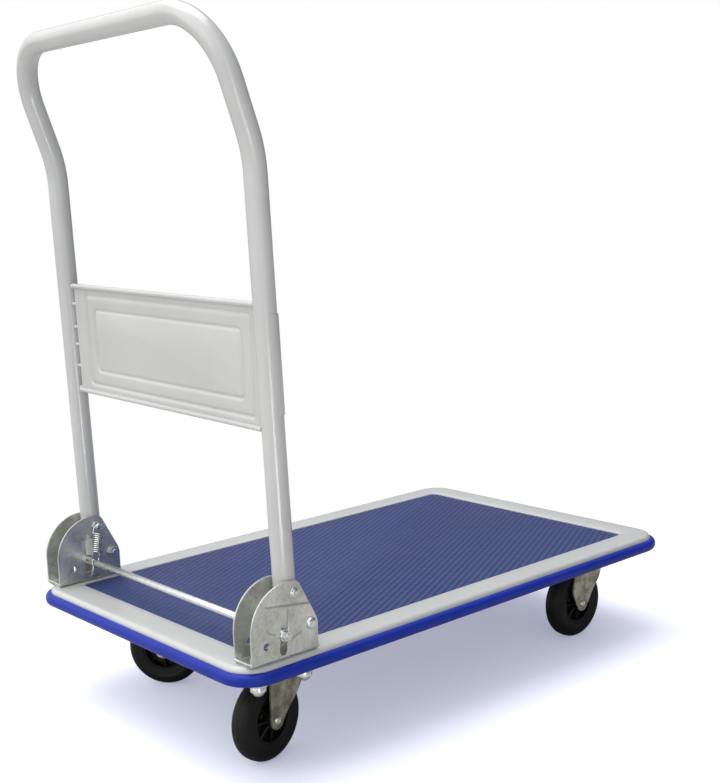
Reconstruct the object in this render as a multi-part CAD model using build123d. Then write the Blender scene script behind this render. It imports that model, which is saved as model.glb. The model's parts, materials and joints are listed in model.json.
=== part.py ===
from build123d import *
import os
from math import atan2, cos, degrees, hypot, radians, sin, tan

# Folding platform cart. Millimetres, +X to the front, +Y to the left, +Z up.
# The origin is on the floor, under the middle of the deck.

os.makedirs("parts", exist_ok=True)

# Deck: a pressed steel tray with a raised rim, a mat in its recess and a bumper round its skirt
DECK_LENGTH = 732.0
DECK_WIDTH = 454.0
DECK_CORNER = 36.0
DECK_EDGE_FILLET = 5.0
SHEET = 1.5
RIM_TOP = 143.0
SKIRT_BOTTOM = 123.0
MAT_LENGTH = 650.0
MAT_WIDTH = 380.0
MAT_CORNER = 9.0
MAT_THICKNESS = 1.5
MAT_TOP = 141.0
MAT_GAP = 0.5
BUMPER_OUT = 7.5
BUMPER_TOP = 136.5
BUMPER_BOTTOM = 122.0
BUMPER_LIP = 2.0
BUMPER_LIP_TOP = 129.0
BUMPER_ROUND = 6.0

# Cross members under the deck: hat channels that carry the casters and the handle brackets
CHANNEL_SHEET = 2.0
CHANNEL_BOTTOM = 119.0
CHANNEL_WIDTH = 434.0
CHANNEL_GAP = 0.5
REAR_CHANNEL = (-352.0, -206.0)
FRONT_CHANNEL = (220.0, 330.0)

# Tube handle
TUBE_RADIUS = 12.7
TUBE_WALL = 1.5
TUBE_Y = 210.4
PIVOT_X = -295.6
PIVOT_Z = 215.0
HANDLE_RAKE = 1.35
ELBOW_Z = 686.0
ELBOW_ANGLE = 17.0
ELBOW_RADIUS = 160.0
ARCH_LENGTH = 128.0
ARCH_CORNER = 76.0

# Handle panel, between the uprights
PANEL_BOTTOM = 394.0
PANEL_TOP = 534.5
PANEL_TILT = 1.1
PANEL_BACK = 4.3
PANEL_SHEET = 1.2
PANEL_BEAD = 3.0
PANEL_OVERLAP = 2.4
FRAME_CENTRE_Y = -11.5
PANEL_FRAMES = ((173.5, 56.5), (155.0, 38.5))
GROOVE_WIDTH = 6.0
GROOVE_DEPTH = 0.9
FLANGE_BOTTOM = 409.0
FLANGE_TOP = 517.0

# Handle brackets: pressed U-channels, one round each foot of the handle
BRACKET_SHEET = 2.2
BRACKET_GAP = 28.6
BRACKET_REAR = -355.4
BRACKET_FRONT = -264.6
BRACKET_BACK_RADIUS = 51.5
BRACKET_TOP = 229.0
BRACKET_SHOULDER = 181.0
BRACKET_CROWN = (6.0, -1.5)
BRACKET_KNEE = (1.5, 6.0)
BRACKET_BOLTS_X = (-337.5, -274.0)
SLOT_WIDTH = 11.0
SLOT_TOP = (-12.7, -20.0)
SLOT_BOTTOM = (-16.9, -61.5)
INSPECTION_HOLE = (-39.5, -51.5)
INSPECTION_RADIUS = 4.5

# Lock rod, its slide and its two springs
ROD_RADIUS = 4.5
ROD_LENGTH = 466.8
ROD_SHOULDER = 227.5
ROD_X = -310.7
ROD_Z = 170.7
FOOT_REACH = 41.7
STOP_X = -274.5
STOP_Z = 175.4
STOP_SLEEVE = 7.0
ROD_NUT_FLANGE = (7.0, 1.2)
SPRING_TOP_Y = 189.5
SPRING_FOOT_Y = 177.0
SPRING_RADIUS = 7.0
SPRING_WIRE = 1.5
SPRING_EAR = 0.6
COIL_ABOVE_ROD = 13.0
COIL_BELOW_PIVOT = 11.0

# Casters
WHEEL_RADIUS = 50.0
TYRE_WIDTH = 26.0
TYRE_SHOULDER = 11.0
HUB_RADIUS = 28.5
HUB_WIDTH = 22.0
HUB_BOSS = 10.0
HUB_SPOKES = 8
BUSH_RADIUS = 6.0
RUNNING_GAP = 0.05
CASTER_Y = 151.0
KINGPIN_X = -261.0
TRAIL = 30.5
RIGHT_SWIVEL = 11.0
LEFT_SWIVEL = 129.0
FRONT_AXLE_X = 262.0
FRONT_LEAN = 13.0
PLATE_LENGTH = 94.0
PLATE_WIDTH = 66.0
PLATE_SHEET = 2.5
PLATE_HOLES_X = 74.0
PLATE_HOLES_Y = 46.0
FORK_SHEET = 2.5
FORK_INSIDE = 32.0
CROWN_TOP = 109.0
CROWN_RADIUS = 25.0
FORK_TAPER = 2.0
FORK_FRONT = ((19, 109), (15.5, 90), (10, 78), (-2, 66))
KINGPIN_RADIUS = 5.0
BALL_RADIUS = 2.5
BALL_RING = 16.0
BALLS = 12
AXLE_END = 11.0

# Bolts and nuts: metric sizes as (shank radius, width across flats, head height)
M6 = (3.0, 10.0, 4.0)
M8 = (4.0, 13.0, 5.3)
M10 = (5.0, 16.0, 3.5)
HOLE_CLEARANCE = 0.5
PIVOT_HEAD = (4.0, 11.0, 3.0)
STOP_HEAD = (4.0, 13.5, 4.5)
PIVOT_NUT = (4.0, 13.0, 3.2)
BOLT_POKE = 1.5
AXLE_HEAD = (5.0, 2.0)
WASHER = (11.5, 1.5)
DOME_NUT = (7.0, 7.5, 5.5)
SIDES = (("left", 1), ("right", -1))


def save(name, shape):
    export_step(shape, os.path.join("parts", name + ".step"))


def slab(length, width, corner, low, high):
    """A rounded rectangle centred on the origin, from one height to another."""
    outline = RectangleRounded(length, width, corner)
    return Pos(0, 0, low) * extrude(outline, high - low)


def box(x, y, z):
    """A box given as its (low, high) pairs."""
    centre = ((x[0] + x[1]) / 2, (y[0] + y[1]) / 2, (z[0] + z[1]) / 2)
    return Pos(*centre) * Box(x[1] - x[0], y[1] - y[0], z[1] - z[0])


def pin_y(x, z, radius, y_low, y_high):
    """A cylinder along Y."""
    middle = (y_low + y_high) / 2
    return Pos(x, middle, z) * Rot(90, 0, 0) * Cylinder(radius, y_high - y_low)


def pin_z(x, y, radius, low, high):
    """A cylinder along Z."""
    return Pos(x, y, (low + high) / 2) * Cylinder(radius, high - low)


def hexagon_y(x, z, flats, y_low, y_high):
    """A hexagonal prism along Y."""
    prism = extrude(RegularPolygon(flats / 2, 6, major_radius=False), y_high - y_low)
    return Pos(x, y_high, z) * Rot(90, 0, 0) * prism


def hexagon_z(x, y, flats, low, high):
    """A hexagonal prism along Z."""
    prism = extrude(RegularPolygon(flats / 2, 6, major_radius=False), high - low)
    return Pos(x, y, low) * prism


def plate_y(outline, y_low, y_high):
    """A flat plate in the XZ plane, from a closed wire of (x, z) points."""
    face = make_face(outline)
    return Pos(0, y_high, 0) * Rot(90, 0, 0) * extrude(face, y_high - y_low)


# ---------------------------------------------------------------- deck


def deck():
    outer = slab(DECK_LENGTH, DECK_WIDTH, DECK_CORNER, SKIRT_BOTTOM, RIM_TOP)
    outer = fillet(outer.faces().sort_by(Axis.Z)[-1].edges(), DECK_EDGE_FILLET)
    recess_floor = MAT_TOP - MAT_THICKNESS
    recess_length = MAT_LENGTH + 2 * MAT_GAP
    recess_width = MAT_WIDTH + 2 * MAT_GAP
    recess_corner = MAT_CORNER + MAT_GAP
    recess = slab(recess_length, recess_width, recess_corner, recess_floor, RIM_TOP + 1)
    inside = (DECK_LENGTH - 2 * SHEET, DECK_WIDTH - 2 * SHEET, DECK_CORNER - SHEET)
    underside = slab(*inside, SKIRT_BOTTOM - 1, recess_floor - SHEET)
    rim_hollow = slab(*inside, recess_floor - SHEET, RIM_TOP - SHEET)
    step = (recess_length + 2 * SHEET, recess_width + 2 * SHEET, recess_corner + SHEET)
    rim_hollow -= slab(*step, recess_floor - 2 * SHEET, RIM_TOP)
    tray = outer - recess - underside - rim_hollow
    for x, y in bracket_bolt_places():
        tray -= pin_z(x, y, M10[0] + HOLE_CLEARANCE, SKIRT_BOTTOM, RIM_TOP + 1)
    return tray


def bumper():
    lip = SHEET + BUMPER_LIP
    outer = slab(
        DECK_LENGTH + 2 * BUMPER_OUT,
        DECK_WIDTH + 2 * BUMPER_OUT,
        DECK_CORNER + BUMPER_OUT,
        BUMPER_BOTTOM,
        BUMPER_TOP,
    )
    outer = fillet(outer.faces().sort_by(Axis.Z)[-1].edges(), BUMPER_ROUND)
    outer = fillet(outer.faces().sort_by(Axis.Z)[0].edges(), BUMPER_ROUND)
    inside = (DECK_LENGTH - 2 * lip, DECK_WIDTH - 2 * lip, DECK_CORNER - lip)
    skirt_inside = (DECK_LENGTH - 2 * SHEET, DECK_WIDTH - 2 * SHEET, DECK_CORNER - SHEET)
    deck_outline = (DECK_LENGTH, DECK_WIDTH, DECK_CORNER)
    above_lip = slab(*deck_outline, BUMPER_LIP_TOP, BUMPER_TOP + 1)
    groove = slab(*deck_outline, SKIRT_BOTTOM, BUMPER_LIP_TOP)
    groove -= slab(*skirt_inside, SKIRT_BOTTOM - 1, BUMPER_LIP_TOP + 1)
    return outer - slab(*inside, BUMPER_BOTTOM - 1, BUMPER_TOP + 1) - above_lip - groove


def mat():
    return slab(MAT_LENGTH, MAT_WIDTH, MAT_CORNER, MAT_TOP - MAT_THICKNESS, MAT_TOP)


def channel(x_low, x_high):
    """A tray-shaped cross member: a flat web with two upright flanges that reach the deck."""
    half = CHANNEL_WIDTH / 2
    web_top = CHANNEL_BOTTOM + CHANNEL_SHEET
    body = box((x_low, x_high), (-half, half), (CHANNEL_BOTTOM, web_top))
    for x in (x_low, x_high - CHANNEL_SHEET):
        under_rim = min(abs(x), abs(x + CHANNEL_SHEET)) > MAT_LENGTH / 2 + MAT_GAP + SHEET
        top = (RIM_TOP if under_rim else MAT_TOP - MAT_THICKNESS) - SHEET
        body += box((x, x + CHANNEL_SHEET), (-half, half), (CHANNEL_BOTTOM, top))
    inset = SHEET + BUMPER_LIP + CHANNEL_GAP
    inside = (DECK_LENGTH - 2 * inset, DECK_WIDTH - 2 * inset, DECK_CORNER - inset)
    return body & slab(*inside, CHANNEL_BOTTOM - 1, RIM_TOP)


def plate_hole_places(x_centre, y_centre):
    for dx in (-PLATE_HOLES_X / 2, PLATE_HOLES_X / 2):
        for dy in (-PLATE_HOLES_Y / 2, PLATE_HOLES_Y / 2):
            yield x_centre + dx, y_centre + dy


def caster_bolt_places(x_centre):
    for _, side in SIDES:
        yield from plate_hole_places(x_centre, side * CASTER_Y)


def web_hole(x, y, size):
    """A clearance hole through a cross member's web."""
    return pin_z(x, y, size[0] + HOLE_CLEARANCE, CHANNEL_BOTTOM - 1, CHANNEL_BOTTOM + 3)


def rear_cross_member():
    body = channel(*REAR_CHANNEL)
    for x, y in caster_bolt_places(KINGPIN_X):
        body -= web_hole(x, y, M8)
    for x, y in bracket_bolt_places():
        body -= web_hole(x, y, M10)
    return body


def front_cross_member():
    body = channel(*FRONT_CHANNEL)
    for x, y in caster_bolt_places(FRONT_AXLE_X + FRONT_LEAN):
        body -= web_hole(x, y, M8)
    return body


# ---------------------------------------------------------------- handle brackets


def bracket_bolt_places():
    for _, side in SIDES:
        for x in BRACKET_BOLTS_X:
            yield x, side * TUBE_Y


def cheek_outline():
    """Side view of a bracket cheek: a quarter-round back, a sloping front edge, a straight foot."""
    back_centre_z = BRACKET_TOP - BRACKET_BACK_RADIUS
    arc_centre = (BRACKET_REAR + BRACKET_BACK_RADIUS, back_centre_z)
    crown = (PIVOT_X + BRACKET_CROWN[0], BRACKET_TOP + BRACKET_CROWN[1])
    knee = radians(135)
    arc_middle = (
        arc_centre[0] + BRACKET_BACK_RADIUS * cos(knee),
        arc_centre[1] + BRACKET_BACK_RADIUS * sin(knee),
    )
    arc_end = (arc_centre[0], BRACKET_TOP)
    back = Line((BRACKET_REAR, RIM_TOP), (BRACKET_REAR, back_centre_z))
    round_back = ThreePointArc((BRACKET_REAR, back_centre_z), arc_middle, arc_end)
    rest = Polyline(
        arc_end,
        crown,
        (BRACKET_FRONT - BRACKET_KNEE[0], BRACKET_SHOULDER),
        (BRACKET_FRONT, BRACKET_SHOULDER - BRACKET_KNEE[1]),
        (BRACKET_FRONT, RIM_TOP),
        (BRACKET_REAR, RIM_TOP),
    )
    return back + round_back + rest


def slot_cutter(y_low, y_high):
    """The slanted slot that the lock rod slides in."""
    x1, z1 = PIVOT_X + SLOT_TOP[0], PIVOT_Z + SLOT_TOP[1]
    x2, z2 = PIVOT_X + SLOT_BOTTOM[0], PIVOT_Z + SLOT_BOTTOM[1]
    tilt = degrees(atan2(x1 - x2, z1 - z2))
    length = hypot(x1 - x2, z1 - z2)
    middle = ((x1 + x2) / 2, (y_low + y_high) / 2, (z1 + z2) / 2)
    cut = Pos(*middle) * Rot(0, tilt, 0) * Box(SLOT_WIDTH, y_high - y_low, length)
    cut += pin_y(x1, z1, SLOT_WIDTH / 2, y_low, y_high)
    return cut + pin_y(x2, z2, SLOT_WIDTH / 2, y_low, y_high)


def bracket(side):
    inner = side * TUBE_Y - (BRACKET_GAP / 2 + BRACKET_SHEET)
    outer = inner + BRACKET_GAP + 2 * BRACKET_SHEET
    body = plate_y(cheek_outline(), inner, outer)
    hollow_y = (inner + BRACKET_SHEET, outer - BRACKET_SHEET)
    hollow_z = (RIM_TOP + BRACKET_SHEET, BRACKET_TOP + 1)
    body -= box((BRACKET_REAR - 1, BRACKET_FRONT + 1), hollow_y, hollow_z)
    low, high = inner - 1, outer + 1
    body -= slot_cutter(low, high)
    body -= pin_y(PIVOT_X, PIVOT_Z, M8[0], low, high)
    body -= pin_y(STOP_X, STOP_Z, M8[0], low, high)
    hole_x, hole_z = PIVOT_X + INSPECTION_HOLE[0], PIVOT_Z + INSPECTION_HOLE[1]
    body -= pin_y(hole_x, hole_z, INSPECTION_RADIUS, low, high)
    for x, y in bracket_bolt_places():
        if y * side > 0:
            body -= pin_z(x, y, M10[0] + HOLE_CLEARANCE, RIM_TOP - 1, RIM_TOP + BRACKET_SHEET + 1)
    return body


def bracket_bolt():
    """The bolt that clamps a bracket to the deck and its cross member, at the origin."""
    head_low = RIM_TOP + BRACKET_SHEET
    tip = CHANNEL_BOTTOM - WASHER[1] - DOME_NUT[1]
    bolt = pin_z(0, 0, M10[0], tip, head_low)
    return bolt + hexagon_z(0, 0, M10[1], head_low, head_low + M10[2])


def bracket_spacer():
    tube_low = CHANNEL_BOTTOM + CHANNEL_SHEET
    tube_high = RIM_TOP - SHEET
    spacer = pin_z(0, 0, M10[0] + 3.5, tube_low, tube_high)
    return spacer - pin_z(0, 0, M10[0] + 0.2, tube_low - 1, tube_high + 1)


def bracket_nut():
    """A domed nut and its washer, under the cross member."""
    dome_radius, height, dome_height = DOME_NUT
    seat = CHANNEL_BOTTOM - WASHER[1]
    tip = seat - height
    nut = pin_z(0, 0, WASHER[0], seat, CHANNEL_BOTTOM) + hexagon_z(0, 0, M10[1], tip, seat)
    nut += pin_z(0, 0, dome_radius, tip - dome_height, tip)
    return nut - pin_z(0, 0, M10[0], tip, CHANNEL_BOTTOM + 1)


def at_places(shape, places):
    """One compound of copies of a shape, moved to each (x, y)."""
    return Compound([Pos(x, y, 0) * shape for x, y in places])


def cross_bolt(side, x, z, head, inner_end):
    """A bolt along Y through both cheeks: its head outside, its end towards the deck's middle."""
    radius, flats, height = head
    outer_face = TUBE_Y + BRACKET_GAP / 2 + BRACKET_SHEET
    shank = pin_y(x, z, radius, inner_end, outer_face)
    bolt = shank + pin_y(x, z, flats / 2, outer_face, outer_face + height)
    return bolt if side > 0 else mirror(bolt, Plane.XZ)


def cross_nut(side, x, z, size):
    radius, flats, height = size
    inner_face = TUBE_Y - BRACKET_GAP / 2 - BRACKET_SHEET
    nut = hexagon_y(x, z, flats, inner_face - height, inner_face)
    nut -= pin_y(x, z, radius, inner_face - height - 1, inner_face + 1)
    return nut if side > 0 else mirror(nut, Plane.XZ)


def stop_sleeve(side):
    low = TUBE_Y - BRACKET_GAP / 2
    sleeve = pin_y(STOP_X, STOP_Z, STOP_SLEEVE, low, low + BRACKET_GAP)
    sleeve -= pin_y(STOP_X, STOP_Z, M8[0], low - 1, low + BRACKET_GAP + 1)
    return sleeve if side > 0 else mirror(sleeve, Plane.XZ)


# ---------------------------------------------------------------- handle


def on_upright(z):
    """X of the handle's centreline at a height on its straight lower part."""
    return PIVOT_X - (z - PIVOT_Z) * tan(radians(HANDLE_RAKE))


def handle_points():
    """The centreline of the left half: foot, elbow start, middle and end, corner start and end."""
    lean = radians(HANDLE_RAKE)
    steep = radians(HANDLE_RAKE + ELBOW_ANGLE)
    bend = ELBOW_RADIUS * tan(radians(ELBOW_ANGLE) / 2)
    foot_z = PIVOT_Z - FOOT_REACH - 2
    elbow = (on_upright(ELBOW_Z), ELBOW_Z)
    start = (elbow[0] + bend * sin(lean), elbow[1] - bend * cos(lean))
    end = (elbow[0] - bend * sin(steep), elbow[1] + bend * cos(steep))
    centre = (start[0] - ELBOW_RADIUS * cos(lean), start[1] - ELBOW_RADIUS * sin(lean))
    half_way = (lean + steep) / 2
    middle = (
        centre[0] + ELBOW_RADIUS * cos(half_way),
        centre[1] + ELBOW_RADIUS * sin(half_way),
    )
    straight = ARCH_LENGTH - ARCH_CORNER
    corner_start = (end[0] - straight * sin(steep), end[1] + straight * cos(steep))
    top = (end[0] - ARCH_LENGTH * sin(steep), end[1] + ARCH_LENGTH * cos(steep))
    rise = ARCH_CORNER * sin(radians(45))
    corner_middle = (
        corner_start[0] - rise * sin(steep),
        corner_start[1] + rise * cos(steep),
    )
    return (on_upright(foot_z), foot_z), start, middle, end, corner_start, corner_middle, top


def handle_path():
    foot, start, middle, end, corner_start, corner_middle, top = handle_points()
    inset = ARCH_CORNER * (1 - cos(radians(45)))

    def at(point, y):
        return (point[0], y, point[1])

    left = [
        Edge.make_line(at(foot, TUBE_Y), at(start, TUBE_Y)),
        Edge.make_three_point_arc(at(start, TUBE_Y), at(middle, TUBE_Y), at(end, TUBE_Y)),
        Edge.make_line(at(end, TUBE_Y), at(corner_start, TUBE_Y)),
        Edge.make_three_point_arc(
            at(corner_start, TUBE_Y),
            at(corner_middle, TUBE_Y - inset),
            at(top, TUBE_Y - ARCH_CORNER),
        ),
    ]
    bar = Edge.make_line(at(top, TUBE_Y - ARCH_CORNER), at(top, ARCH_CORNER - TUBE_Y))
    right = [
        Edge.make_three_point_arc(
            at(top, ARCH_CORNER - TUBE_Y),
            at(corner_middle, inset - TUBE_Y),
            at(corner_start, -TUBE_Y),
        ),
        Edge.make_line(at(corner_start, -TUBE_Y), at(end, -TUBE_Y)),
        Edge.make_three_point_arc(at(end, -TUBE_Y), at(middle, -TUBE_Y), at(start, -TUBE_Y)),
        Edge.make_line(at(start, -TUBE_Y), at(foot, -TUBE_Y)),
    ]
    return Wire(left + [bar] + right)


def handle_tube():
    path = handle_path()
    foot = handle_points()[0]
    lean = radians(HANDLE_RAKE)
    origin = (foot[0], TUBE_Y, foot[1])
    plane = Plane(origin=origin, x_dir=(0, 1, 0), z_dir=(-sin(lean), 0, cos(lean)))
    ring = plane * (Circle(TUBE_RADIUS) - Circle(TUBE_RADIUS - TUBE_WALL))
    tube = sweep(ring, path=path)
    for _, side in SIDES:
        low, high = sorted((side * (TUBE_Y - 20), side * (TUBE_Y + 20)))
        foot_block = box((PIVOT_X - 40, PIVOT_X + 40), (low, high), (PIVOT_Z - 60, PIVOT_Z))
        tube -= foot_block - pin_y(PIVOT_X, PIVOT_Z, FOOT_REACH, low - 1, high + 1)
        tube -= pin_y(PIVOT_X, PIVOT_Z, BUSH_RADIUS, low, high)
    return tube


def pivot_bush(side):
    """The sleeve welded across a foot of the handle, which turns on the pivot bolt."""
    low, high = TUBE_Y - TUBE_RADIUS, TUBE_Y + TUBE_RADIUS
    bush = pin_y(PIVOT_X, PIVOT_Z, BUSH_RADIUS, low, high)
    bush -= pin_y(PIVOT_X, PIVOT_Z, M8[0] + RUNNING_GAP, low - 1, high + 1)
    return bush if side > 0 else mirror(bush, Plane.XZ)


def panel_solid(half_width, low, high, back, front):
    """A flat part of the panel, upright before it is leaned back to the handle's rake."""
    return box((-back, -front), (-half_width, half_width), (low, high))


def frame_ring(half_width, half_height, back, front):
    """A rectangular ring as wide as a groove, off-centre like the panel's pressed frames."""
    half = GROOVE_WIDTH / 2
    ring = panel_solid(half_width + half, -half_height - half, half_height + half, back, front)
    hole = (half_width - half, half - half_height, half_height - half, back + 1, front - 1)
    return Pos(0, FRAME_CENTRE_Y, 0) * (ring - panel_solid(*hole))


def panel():
    """A pressed sheet: two grooved frames, rolled top and bottom beads, a flange at each end."""
    middle_z = (PANEL_BOTTOM + PANEL_TOP) / 2
    half = TUBE_Y - TUBE_RADIUS + PANEL_OVERLAP
    height = (PANEL_TOP - PANEL_BOTTOM) / 2
    edge = height - PANEL_BEAD
    front = PANEL_BACK - PANEL_SHEET
    sheet = panel_solid(half, -edge, edge, PANEL_BACK, front)
    for half_width, half_height in PANEL_FRAMES:
        sheet += frame_ring(half_width, half_height, front, front - PANEL_SHEET)
        sheet -= frame_ring(half_width, half_height, PANEL_BACK + 1, PANEL_BACK - GROOVE_DEPTH)
    for z in (-edge, edge):
        sheet += pin_y(-front - PANEL_BEAD, z, PANEL_BEAD, -half, half)
    sheet = Rot(PANEL_TILT, 0, 0) * sheet
    for _, side in SIDES:
        sheet -= pin_z(0, side * TUBE_Y, TUBE_RADIUS, -height - 10, height + 10)
        sheet += panel_flange(side, FLANGE_BOTTOM - middle_z, FLANGE_TOP - middle_z)
    return Pos(on_upright(middle_z), 0, middle_z) * Rot(0, -HANDLE_RAKE, 0) * sheet


def panel_flange(side, low, high):
    """The tab at one end of the panel, wrapped round the front of its upright."""
    wrap = pin_z(0, TUBE_Y, TUBE_RADIUS + PANEL_SHEET, low, high)
    wrap -= pin_z(0, TUBE_Y, TUBE_RADIUS, low - 1, high + 1)
    wrap -= box((-30, -PANEL_BACK), (TUBE_Y - 30, TUBE_Y + 30), (low - 1, high + 1))
    wrap -= box((-30, 7), (TUBE_Y, TUBE_Y + 30), (low - 1, high + 1))
    return wrap if side > 0 else mirror(wrap, Plane.XZ)


# ---------------------------------------------------------------- lock rod and springs


def lock_rod():
    half = ROD_LENGTH / 2
    rod = pin_y(ROD_X, ROD_Z, ROD_RADIUS, -ROD_SHOULDER, ROD_SHOULDER)
    return rod + pin_y(ROD_X, ROD_Z, M6[0], -half, half)


def rod_nut(side):
    """The flanged retaining nut on one end of the lock rod, against the rod's shoulder."""
    high = ROD_LENGTH / 2 - 0.5
    radius, thickness = ROD_NUT_FLANGE
    nut = pin_y(ROD_X, ROD_Z, radius, ROD_SHOULDER, ROD_SHOULDER + thickness)
    nut += hexagon_y(ROD_X, ROD_Z, M6[1], ROD_SHOULDER + thickness, high)
    nut -= pin_y(ROD_X, ROD_Z, M6[0], ROD_SHOULDER - 1, high + 1)
    return nut if side > 0 else mirror(nut, Plane.XZ)


def spring(side):
    """A tension spring from the pivot bolt's end down and inwards to the lock rod, as a coil sleeve."""
    along = (PIVOT_X - ROD_X, side * (SPRING_TOP_Y - SPRING_FOOT_Y), PIVOT_Z - ROD_Z)
    distance = hypot(*along)
    foot = (ROD_X, side * SPRING_FOOT_Y, ROD_Z)
    place = Plane(origin=foot, x_dir=(along[2], 0, -along[0]), z_dir=along)
    coil_low, coil_high = COIL_ABOVE_ROD, distance - COIL_BELOW_PIVOT
    middle = (coil_low + coil_high) / 2
    coil = Pos(0, 0, middle) * Cylinder(SPRING_RADIUS, coil_high - coil_low)
    coil -= Pos(0, 0, middle) * Cylinder(SPRING_RADIUS - SPRING_WIRE, coil_high)
    ear = SPRING_RADIUS - SPRING_WIRE / 2
    low_ear = Pos(ear, 0, (ROD_RADIUS + coil_low) / 2 + 0.2)
    coil += low_ear * Cylinder(SPRING_EAR, coil_low - ROD_RADIUS + 0.6)
    high_end = distance - M8[0]
    high_ear = Pos(-ear, 0, (coil_high + high_end) / 2)
    coil += high_ear * Cylinder(SPRING_EAR, high_end - coil_high + 1)
    return place * coil


# ---------------------------------------------------------------- casters


def caster_plate(x, y):
    """A mounting plate with four bolt holes, centred on (x, y) under the cross member."""
    plate = slab(PLATE_LENGTH, PLATE_WIDTH, 6, CHANNEL_BOTTOM - PLATE_SHEET, CHANNEL_BOTTOM)
    plate = Pos(x, y, 0) * plate
    for hole_x, hole_y in plate_hole_places(x, y):
        plate -= pin_z(hole_x, hole_y, M8[0] + HOLE_CLEARANCE, CHANNEL_BOTTOM - 10, CHANNEL_BOTTOM + 1)
    return plate


def swivel_plate(side):
    """The plate of a swivel caster, with the race that its balls run under."""
    x, y = KINGPIN_X, side * CASTER_Y
    plate_low = CHANNEL_BOTTOM - PLATE_SHEET
    race_low = CROWN_TOP + 3.0
    race = pin_z(x, y, BALL_RING + 5, race_low, plate_low)
    race -= pin_z(x, y, BALL_RING - 4, race_low - 1, plate_low + 1)
    race -= Pos(x, y, CROWN_TOP + BALL_RADIUS + 0.4) * Torus(BALL_RING, BALL_RADIUS)
    plate = caster_plate(x, y) + race
    return plate - pin_z(x, y, KINGPIN_RADIUS, plate_low - 1, CHANNEL_BOTTOM + 1)


def bearing_balls():
    balls = []
    for _, side in SIDES:
        for index in range(BALLS):
            angle = radians(360 * index / BALLS)
            x = KINGPIN_X + BALL_RING * cos(angle)
            y = side * CASTER_Y + BALL_RING * sin(angle)
            z = CROWN_TOP + BALL_RADIUS + 0.4
            balls.append(Pos(x, y, z) * Sphere(BALL_RADIUS - 0.02))
    return Compound(balls)


def kingpin(side):
    """The headed pin that holds a swivel fork up against its plate."""
    x, y = KINGPIN_X, side * CASTER_Y
    head_top = CROWN_TOP - FORK_SHEET - 0.3
    pin = pin_z(x, y, KINGPIN_RADIUS, head_top, CHANNEL_BOTTOM)
    return pin + hexagon_z(x, y, 16.0, head_top - 5, head_top)


def swivel_leg(y_low, y_high):
    """One leg of a swivel fork, with its kingpin on the Z axis and its axle behind it."""
    axle_x = -TRAIL
    left_x = axle_x - AXLE_END
    tangent = radians(-38)
    right = (axle_x + AXLE_END * cos(tangent), WHEEL_RADIUS + AXLE_END * sin(tangent))
    outline = Polyline(
        (left_x, WHEEL_RADIUS),
        (left_x + FORK_TAPER, CROWN_TOP),
        *FORK_FRONT,
        right,
    )
    bottom = (axle_x, WHEEL_RADIUS - AXLE_END)
    outline += ThreePointArc(right, bottom, (left_x, WHEEL_RADIUS))
    leg = plate_y(outline, y_low, y_high)
    return leg - pin_y(axle_x, WHEEL_RADIUS, M8[0], y_low - 1, y_high + 1)


def swivel_fork():
    inside = FORK_INSIDE / 2
    outside = inside + FORK_SHEET
    crown_low = CROWN_TOP - FORK_SHEET
    crown = pin_z(0, 0, CROWN_RADIUS, crown_low, CROWN_TOP)
    crown += box((-TRAIL - 7, 10), (-outside, outside), (crown_low, CROWN_TOP))
    fork = crown + swivel_leg(inside, outside) + swivel_leg(-outside, -inside)
    return fork - pin_z(0, 0, KINGPIN_RADIUS + RUNNING_GAP, crown_low - 1, CROWN_TOP + 1)


def rigid_leg(y_low, y_high):
    """One leg of a fixed fork, with its axle on the Z axis and its top leaning forwards."""
    angle = radians(-30)
    right = (AXLE_END * cos(angle), WHEEL_RADIUS + AXLE_END * sin(angle))
    left = (-right[0], right[1])
    front = Spline(right, (24, 65), (38, 79), (42, 96), tangents=((0.5, 0.87), (0, 1)))
    top = Polyline((42, 96), (42, CHANNEL_BOTTOM), (-16, CHANNEL_BOTTOM), (-15, 92))
    back = Spline((-15, 92), (-20, 71), left, tangents=((0, -1), (0.5, -0.87)))
    end = ThreePointArc(left, (0, WHEEL_RADIUS - AXLE_END), right)
    leg = plate_y(front + top + back + end, y_low, y_high)
    return leg - pin_y(0, WHEEL_RADIUS, M8[0], y_low - 1, y_high + 1)


def rigid_fork(side):
    inside = FORK_INSIDE / 2
    outside = inside + FORK_SHEET
    legs = rigid_leg(inside, outside) + rigid_leg(-outside, -inside)
    fork = caster_plate(FRONT_LEAN, 0) + legs
    return Pos(FRONT_AXLE_X, side * CASTER_Y, 0) * fork


def tyre():
    outer = pin_y(0, 0, WHEEL_RADIUS, -TYRE_WIDTH / 2, TYRE_WIDTH / 2)
    outer = fillet(outer.edges().filter_by(GeomType.CIRCLE), TYRE_SHOULDER)
    return outer - pin_y(0, 0, HUB_RADIUS, -TYRE_WIDTH, TYRE_WIDTH)


def hub():
    """A moulded hub: rim, web, spokes on both faces and a bored boss."""
    half = HUB_WIDTH / 2
    boss_half = FORK_INSIDE / 2 - 0.5
    body = pin_y(0, 0, HUB_RADIUS, -half, half) - pin_y(0, 0, HUB_RADIUS - 3, -half - 1, half + 1)
    body += pin_y(0, 0, HUB_RADIUS - 2, -2, 2)
    body += pin_y(0, 0, HUB_BOSS, -boss_half, boss_half)
    for index in range(HUB_SPOKES):
        spoke = box((HUB_BOSS - 2, HUB_RADIUS - 2), (-half + 1, half - 1), (-1.5, 1.5))
        body += Rot(0, 360 * index / HUB_SPOKES, 0) * spoke
    bore = pin_y(0, 0, BUSH_RADIUS + RUNNING_GAP, -boss_half - 1, boss_half + 1)
    return body - bore


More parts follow.
